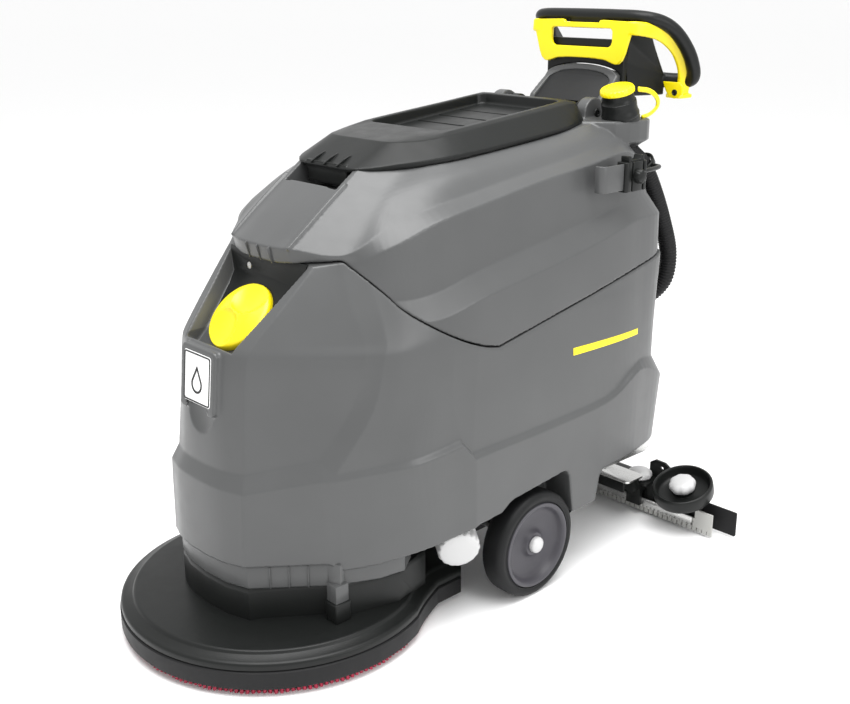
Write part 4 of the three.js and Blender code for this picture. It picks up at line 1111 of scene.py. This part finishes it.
def handle():
    top = [(-70, HANDLE["top_y"], HANDLE["top_z"]), (70, HANDLE["top_y"], HANDLE["top_z"])]
    route = side_points(SWEEP, -1)[::-1] + top + side_points(SWEEP, 1)
    grip = tube("grip", route, HANDLE["tube"], 28, 10, shape=grip_shape)
    rows = [
        [(86, 494, 856), (120, 604, 856), (106, 614, 856), (78, 508, 856)],
        [(86, 494, 926), (120, 604, 896), (106, 614, 896), (78, 508, 926)],
        [(106, 500, 1004), (138, 504, 1004), (134, 518, 1004), (104, 516, 1004)],
    ]
    for side in (1, -1):
        join(grip, loft("strut", [side_points(row, side) for row in rows]))
    join(grip, block("panel", (-98, 98), (494, 508), (864, 966)),
         block("top_pad", (-43, 43), (495, 508), (986, 1002)))
    cut(grip, console_arch("console_room", -0.6, 400, 524.4),
        block("console_top", (-93, 93), (400, 493.9), (800, 918)))
    soften(grip, 2.2, 2)
    return finished(grip, "dirty_water_tank", "black_plastic", "handle_frame")


LEVER_HALF = [(0, 929), (38, 928.4), (62, 926.4), (76, 922), (86, 919), (95, 920), (103, 927), (109, 940),
              (114, 956), (119, 972), (122, 984), (121, 995), (115, 1001), (52, 1003), (46, 1002),
              (43, 997.5), (0, 997.5)]
LEVER_FRONT, LEVER_BACK = 480, 488
RIBBON_HALF = 5.0
# Pairs of a point on the band's outer edge and one on its inner edge, from the middle outwards and down.
RIBBON = [
    ((108, 484.5, 1001), (104, 484.5, 976)), ((126, 487, 1002), (126, 486, 976)),
    ((142, 514, 999), (137, 507, 973)), ((153, 551, 987), (141, 536, 967)),
    ((162, 581, 970), (144, 561, 956)), ((167, 603, 946), (148, 584, 938)),
    ((169, 618, 918), (150, 601, 913)), ((168, 626, 893), (151, 606, 893)),
    ((164, 628, 866), (150, 606, 868)), ((160, 630, 855), (150, 606, 855)),
]
TAB = [(127, 884), (131, 874), (139, 860), (146, 854), (156, 851.5), (168, 854), (176, 862), (177, 876),
       (170, 884), (150, 884)]


def ribbon(side):
    """The lever's flat side band, a rounded strip swept between its outer and inner edges."""
    outer = [Vector(p) for p in curve_points([o for o, _ in RIBBON], 6)]
    inner = [Vector(p) for p in curve_points([i for _, i in RIBBON], 6)]
    rings = []
    for k, (o, i) in enumerate(zip(outer, inner)):
        ahead, behind = min(k + 1, len(outer) - 1), max(k - 1, 0)
        along = (outer[ahead] + inner[ahead] - outer[behind] - inner[behind]).normalized()
        across = (o - i).normalized()
        normal = across.cross(along).normalized() * RIBBON_HALF
        tuck = across * (RIBBON_HALF * 0.6)
        ring = [o - tuck + normal, o + normal * 0.3, o - normal * 0.3, o - tuck - normal,
                i + tuck - normal, i - normal * 0.3, i + normal * 0.3, i + tuck + normal]
        rings.append([(side * p.x, p.y, p.z) for p in ring])
    return loft("ribbon", rings)


def drive_lever():
    outline = LEVER_HALF + [(-x, z) for x, z in LEVER_HALF[-2:0:-1]]
    plate = front_prism("drive_lever", outline, LEVER_FRONT, LEVER_BACK)
    window = [(-68, 951), (68, 951), (75, 955), (78, 963), (77, 983), (73, 987), (-73, 987), (-77, 983),
              (-78, 963), (-75, 955)]
    cut(plate, front_prism("window", window, 400, 560))
    for side in (1, -1):
        tab = front_prism("tab", [(side * x, z) for x, z in TAB], 588, 595)
        flap = plan_prism("flap", rounded(*between(side, 132, 172), 590, 634, 8), 852, 860)
        join(plate, ribbon(side), tab, flap)
    soften(plate, 1.7, 3)
    return finished(plate, "drive_lever", "yellow_plastic", "drive_lever")


def lever_screws():
    """The dark heads of the two screws on which the lever hangs."""
    for side in (1, -1):
        profile = [(0, 0), (6, 0), (6, 1.4), (5, 2.4), (3.6, 2.6), (2.6, 1.2), (0, 1.2)]
        head = turned("lever_screw", profile, (side * 158, 588, 864), (0, -1, 0), 32)
        finished(shade(head, 40), "drive_lever", "black_plastic")


console()
panel_and_knob()
handle()
drive_lever()
lever_screws()


# ---- drain ----
DRAIN_AXIS = Vector((0, -0.3, 1)).normalized()
DRAIN_FOOT = Vector((172, 398, 826.6))


def drain():
    wall = [(20, 4), (33, 4), (35.5, 7), (36, 12), (34, 17), (33, 24), (33.5, 30), (33, 36), (31, 38),
            (30, 44), (29.5, 51.6), (20, 51.6), (20, 4)]
    collar = [(21, 0), (34, 0), (35, 2), (35, 10), (21, 12), (21, 0)]
    neck = turned("drain_neck", wall, DRAIN_FOOT, DRAIN_AXIS, 96)
    foot = turned("drain_foot", collar, DRAIN_FOOT, steps=96)
    finished(shade(merged("drain_neck", neck, foot), 40), "dirty_water_tank", "black_plastic", "drain_neck")
    cap = [(0, 40, 0), (18.6, 40, 0), (19, 42, 0), (19, 52, 0), (30.6, 52.2, 0), (32.6, 53.5, 0),
           (33, 56, 0.8), (32.4, 60, 0.8), (30.6, 62.6, 0.3), (26, 64.2, 0), (14, 65.2, 0), (0, 65.4, 0)]
    finished(lobed("drain_cap", cap, DRAIN_FOOT, DRAIN_AXIS, 24), "drain_cap", "yellow_plastic",
             "drain_cap")


STRAP = [(200, 408, 884), (212, 428, 880), (214, 450, 866), (210, 458, 850), (203, 446, 836),
         (196, 430, 830.5)]


def strap():
    band = tube("cap_strap", STRAP, 3.6, 14, 10, shape=lambda a, w: 3.6 * (1 + 0.3 * math.cos(2 * a)))
    finished(shade(band), None, "yellow_plastic", "cap_strap")
    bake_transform(band)


DRAIN_ROUTE = [(184, 408, 788.6), (184, 409, 772), (187, 452, 738), (188, 488, 690), (188, 532, 612),
               (188, 558, 545), (180, 560, 488), (150, 548, 450), (100, 540, 436), (50, 536, 452),
               (14, 532, 496), (0, 530, 550), (0, 528, 600), (0, 508, 636), (0, 486, 642)]
SUCTION_ROUTE = [(0, 490, 84.6), (0, 490, 100), (0, 512, 140), (0, 542, 200), (0, 556, 270), (0, 556, 340),
                 (0, 548, 386), (0, 528, 410), (0, 501, 410)]


def hoses():
    drain_hose = ribbed_hose("drain_hose", DRAIN_ROUTE, 18)
    finished(drain_hose, None, "hose_black", "drain_hose")
    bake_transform(drain_hose)
    suction = ribbed_hose("suction_hose", SUCTION_ROUTE, 21)
    finished(suction, None, "hose_black", "suction_hose")
    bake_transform(suction)


def hose_clip():
    section = [(20, -6), (21, -7), (24, -7), (25, -6), (25, 6), (24, 7), (21, 7), (20, 6), (20, -6)]
    band = turned("clip_band", section, (187, 452, 739), (0.01, 0.62, -0.8), 64)
    route = [(256, 353, 742), (252, 392, 742), (238, 436, 741), (210, 452, 739)]
    arm = tube("clip_arm", route, 4.2, 14, 10)
    return finished(shade(merged("hose_clip", band, arm), 50), "dirty_water_tank", "black_plastic",
                    "hose_clip")


def rail_and_clamp():
    nose = [(246, 231, 0), (256, 231.6, 0), (262.6, 235.6, 0), (265.4, 242, 0), (266, 250, 0)]
    face = curve_points(nose, 5)
    outer = [(x, y) for x, y, _ in face] + [(266, 290.4)]
    inner = [(263, 290.4), (263, 251), (262.4, 244), (260.4, 239), (255.4, 235.4), (246, 235)]
    rail = plan_prism("accessory_rail", outer + inner, 716, 764)
    finished(bevelled(rail, 1.6, 3), "dirty_water_tank", "dark_plastic", "accessory_rail", material=GREY)
    jaw = plan_prism("rail_clamp", rounded(246.6, 272, 290.6, 352.4, 6), 712, 766)
    for y in (306, 338):
        cut(jaw, block("gap", (260, 280), (y, y + 4), (705, 770)))
    bevelled(jaw, 1.4, 2)
    profile = [(0, 0, 0), (13, 0, 0), (13.5, 2, 0), (13.5, 9, 2.2), (12, 12.5, 2), (8, 14, 0), (0, 14.4, 0)]
    head = lobed("clamp_head", profile, (272, 322, 740), (1, 0, 0), 6, 72)
    outline = [(300, 764), (346, 764), (346, 776), (338, 776), (336, 769), (310, 769), (308, 776), (300, 776)]
    hook = side_prism("clamp_hook", outline, 250, 268)
    bevelled(hook, 1, 2)
    finished(merged("rail_clamp", jaw, head, hook), "dirty_water_tank", "black_plastic", "rail_clamp")


drain()
strap()
hoses()
hose_clip()
rail_and_clamp()


# ---- squeegee ----
SQUEEGEE = {"front_half": 394, "rear_half": 428, "knob_x": 208, "roller_x": 322, "pivot_y": 236,
            "pivot_z": 152}


def comb_outline(half, low, top, pitch, tooth, notch):
    """A strip whose lower edge is cut into teeth, closed by the points of its top edge."""
    count = int(2 * half / pitch)
    points = [(-half, low)]
    for i in range(count):
        x = -half + pitch * i
        points += [(x + tooth, low), (x + tooth, low + notch), (x + pitch, low + notch), (x + pitch, low)]
    return points + [(half, low)] + top


def squeegee_blades():
    half, inner = SQUEEGEE["front_half"], 354
    top = [(half, 52), (inner, 52), (inner, 33), (-inner, 33), (-inner, 52), (-half, 52)]
    comb = front_prism("front_blade", comb_outline(half, 5, top, 12, 8.8, 9), 471, 475.4)
    finished(comb, "squeegee", "blade_rubber", "front_blade")
    strip = front_prism("blade_clamp_strip", comb_outline(350, 17, [(350, 36), (-350, 36)], 10, 6.5, 4.5),
                        466.4, 470.8)
    finished(bevelled(strip, 0.5, 1), "squeegee", "steel", "blade_clamp_strip")
    rear = front_prism("rear_blade", rounded(-SQUEEGEE["rear_half"], SQUEEGEE["rear_half"], 6, 58, 3),
                       505.4, 510)
    finished(bevelled(rear, 0.8, 2), "squeegee", "black_rubber", "rear_blade")


def squeegee_beam():
    beam = block("squeegee_beam", (-350, 350), (476, 505), (30, 70))
    carrier = plan_prism("carrier", rounded(-240, 240, 456, 512, 8), 69, 74)
    join(beam, carrier)
    for side in (1, -1):
        for y, z in (((456, 466.2), (22, 74)), ((456, 480), (52.6, 74)), ((430, 450), (60, 91.6)),
                     ((449, 457), (60, 73))):
            join(beam, block("boss", between(side, 192, 226), y, z))
        ear = [(side * 214, 70), (side * 268, 70), (side * 262, 104), (side * 250, 111), (side * 226, 112),
               (side * 214, 104)]
        join(beam, front_prism("ear", ear, 505, 511))
        join(beam, block("seat", between(side, 282, 349), (476.4, 505), (56, 62)))
        cut(beam, rod("hole", (side * 244, 480, 98), (side * 244, 530, 98), 4, 32))
    join(beam, rod("port", (0, 490, 60), (0, 490, 84), 26, 64))
    cut(beam, rod("passage", (0, 490, 16), (0, 490, 100), 20, 64))
    for k in range(-8, 9):
        if abs(k) not in (0, 5):
            join(beam, block("web", (k * 38 - 1.5, k * 38 + 1.5), (474, 480), (40, 72)))
    return finished(bevelled(beam, 1.2, 2), "squeegee", "black_plastic", "squeegee_beam")


def carrier_plate():
    plate = plan_prism("squeegee_carrier", rounded(-236, 236, 398, 455.4, 10), 92, 96)
    for side in (1, -1):
        cut(plate, plan_prism("slot", rounded(side * 130 - 30, side * 130 + 30, 418, 430, 5.9), 80, 110))
    fold = plan_prism("carrier_fold", rounded(-226, 226, 398.2, 403, 2), 70, 92)
    finished(bevelled(fold, 0.8, 2), "squeegee", "black_plastic")
    return finished(bevelled(plate, 0.9, 2), "squeegee", "steel", "squeegee_carrier")


def squeegee_arm():
    y, z = SQUEEGEE["pivot_y"], SQUEEGEE["pivot_z"]
    arm = rod("squeegee_arm", (-40, y, z), (40, y, z), 14, 48)
    outline = [(244, 140), (236, 152), (244, 162), (330, 150), (398, 106), (455, 103), (455, 96.4),
               (394, 96.4), (326, 140)]
    join(arm, side_prism("plate", outline, -34, 34))
    cut(arm, rod("bore", (-60, y, z), (60, y, z), 6.4, 32))
    return finished(bevelled(arm, 1.2, 2), "squeegee", "frame_paint", "squeegee_arm")


def star_knob(name, side):
    profile = [(0, 0.4, 0), (20, 0.4, 0), (22, 1.5, 0), (23, 4, 0), (26, 5.5, 1.6), (26.4, 11, 1.8),
               (24.5, 15, 1.5), (20.5, 18.4, 0.7), (14, 20.6, 0), (0, 21.4, 0)]
    knob = lobed("squeegee_knob_" + name, profile, (side * SQUEEGEE["knob_x"], 478, 74), (0, 0, 1), 8)
    return finished(knob, "squeegee_knob_" + name, "white_plastic", "squeegee_knob_" + name)


ROLLER_AXIS = Vector((0, -0.36, 1)).normalized()


def guard_roller(name, side):
    centre = (side * SQUEEGEE["roller_x"], 466, 101)
    cup = [(9, -28), (50, -30), (56, -30), (60, -27), (61.5, -22), (61.5, -6), (61, -2), (59.4, 0),
           (57, 0.4), (55.4, -1), (54.4, -4), (52, -17), (49, -20), (24, -20.5), (21.5, -19), (20.5, -12),
           (9, -12), (9, -28)]
    finished(shade(turned("guard_roller_" + name, cup, centre, ROLLER_AXIS, 112), 45),
             "guard_roller_" + name, "black_plastic", "guard_roller_" + name)
    profile = [(0, -29, 0), (7.6, -29, 0), (8, -28, 0), (8, -11.4, 0), (22, -11.2, 0), (25.5, -9, 0.8),
               (27.4, -4, 1.6), (27.4, 0, 1.6), (25.6, 5, 1.4), (20.5, 9, 0.6), (13, 11, 0), (0, 11.6, 0)]
    finished(lobed("roller_knob_" + name, profile, centre, ROLLER_AXIS, 8), "roller_knob_" + name,
             "white_plastic", "roller_knob_" + name)


def rear_skirt(side):
    """The bright inner plate that shows under the shell's rear side."""
    outline = [(270, 194), (284, 166), (298, 154), (452, 152), (462, 158), (468, 194)]
    plate = side_prism("rear_skirt", outline, *between(side, 233, 236.5))
    return finished(bevelled(plate, 0.8, 2), "chassis", "steel")


rear_skirt(1)
rear_skirt(-1)
squeegee_blades()
squeegee_beam()
carrier_plate()
squeegee_arm()
for name, side in (("left", 1), ("right", -1)):
    star_knob(name, side)
    guard_roller(name, side)


# ---- rear ----
LIFT_LEVER = {"x": -124, "y": 516, "z": 420}


def lift_lever():
    x, y, z = LIFT_LEVER["x"], LIFT_LEVER["y"], LIFT_LEVER["z"]
    bar = side_prism("lift_lever", [(y - 8, z - 8), (y, z - 11), (y + 7, z - 8), (y + 13, z + 30),
                                    (y + 16, z + 78), (y + 14, z + 85), (y + 6, z + 86), (y - 1, z + 80)],
                     x - 6, x + 6)
    join(bar, rod("pin", (x - 25, y, z), (x + 25, y, z), 6, 32),
         rod("hub", (x - 13, y, z), (x + 13, y, z), 12, 40),
         rod("grip", (x - 16, y + 8, z + 78), (x + 16, y + 8, z + 78), 7, 32))
    soften(bar, 1.8, 2)
    return finished(bar, "lift_lever", "black_plastic", "lift_lever")


STRIPE_STEPS = 24


def side_stripe():
    """The plain yellow stripe on the machine's left side, laid on the shell's surface."""
    surface = bpy.data.objects["lower_shell"]
    bpy.context.evaluated_depsgraph_get().update()
    to_local = surface.matrix_world.inverted()
    rows = []
    for high in (0.0, 1.0):
        row = []
        for k in range(STRIPE_STEPS + 1):
            share = k / STRIPE_STEPS
            y = 157.5 + 207 * share
            z = 435.3 - 6.1 * share + high * (13.7 - 2.4 * share)
            start = metres(400, y, z)
            _, place, normal, _ = surface.ray_cast(to_local @ start, Vector((-1, 0, 0)))
            row.append(place + normal * 0.0005)
        rows.append(row)
    mesh = bpy.data.meshes.new("side_stripe")
    points = [p for row in rows for p in row]
    above = STRIPE_STEPS + 1
    mesh.from_pydata(points, [], [(k, k + 1, above + k + 1, above + k) for k in range(STRIPE_STEPS)])
    stripe = add_object("side_stripe", mesh)
    thick = stripe.modifiers.new("thick", "SOLIDIFY")
    thick.thickness = 0.0006
    applied(stripe)
    return finished(stripe, "chassis", "yellow_plastic")


lift_lever()
side_stripe()


# ---- plain materials for the CAD nodes that stay ----
for part in frame["record"]["subparts"]:
    node = frame["nodes"][part["node"]]
    node.data.materials.clear()
    node.data.materials.append(BY_SLOT[part["material_slot"]])
    if not node.hide_render:
        edges = node.modifiers.new("edges", "BEVEL")
        edges.width = 0.001
        edges.segments = 2
        edges.limit_method = "ANGLE"
        edges.angle_limit = math.radians(40)


# ---- floor and light ----
FLOOR_HALF = 120.0


def make_floor():
    mesh = bpy.data.meshes.new("floor")
    half = FLOOR_HALF
    corners = [(-half, -half, 0), (half, -half, 0), (half, half, 0), (-half, half, 0)]
    mesh.from_pydata(corners, [], [(0, 1, 2, 3)])
    floor = add_object("floor", mesh)
    mesh.materials.append(shader("pale_floor", (0.97, 0.97, 0.97), 0.7)[0])


def area_light(name, place, target, size, power):
    data = bpy.data.lights.new(name, "AREA")
    data.shape = "RECTANGLE"
    data.size, data.size_y = size
    data.energy = power
    light = bpy.data.objects.new(name, data)
    bpy.context.scene.collection.objects.link(light)
    light.location = place
    light.rotation_euler = (Vector(target) - Vector(place)).to_track_quat("-Z", "Y").to_euler()


def make_lights():
    world = bpy.data.worlds.new("studio")
    bpy.context.scene.world = world
    world.use_nodes = True
    world.node_tree.nodes["Background"].inputs["Color"].default_value = (1, 1, 1, 1)
    world.node_tree.nodes["Background"].inputs["Strength"].default_value = 1.0
    area_light("overhead", (0.45, -0.45, 3.3), (0, 0, 0.4), (2.8, 2.4), 150)
    area_light("right", (2.9, 0.3, 1.7), (0, 0, 0.5), (1.4, 1.4), 24)


make_floor()
make_lights()

bpy.context.scene.view_settings.view_transform = "Standard"
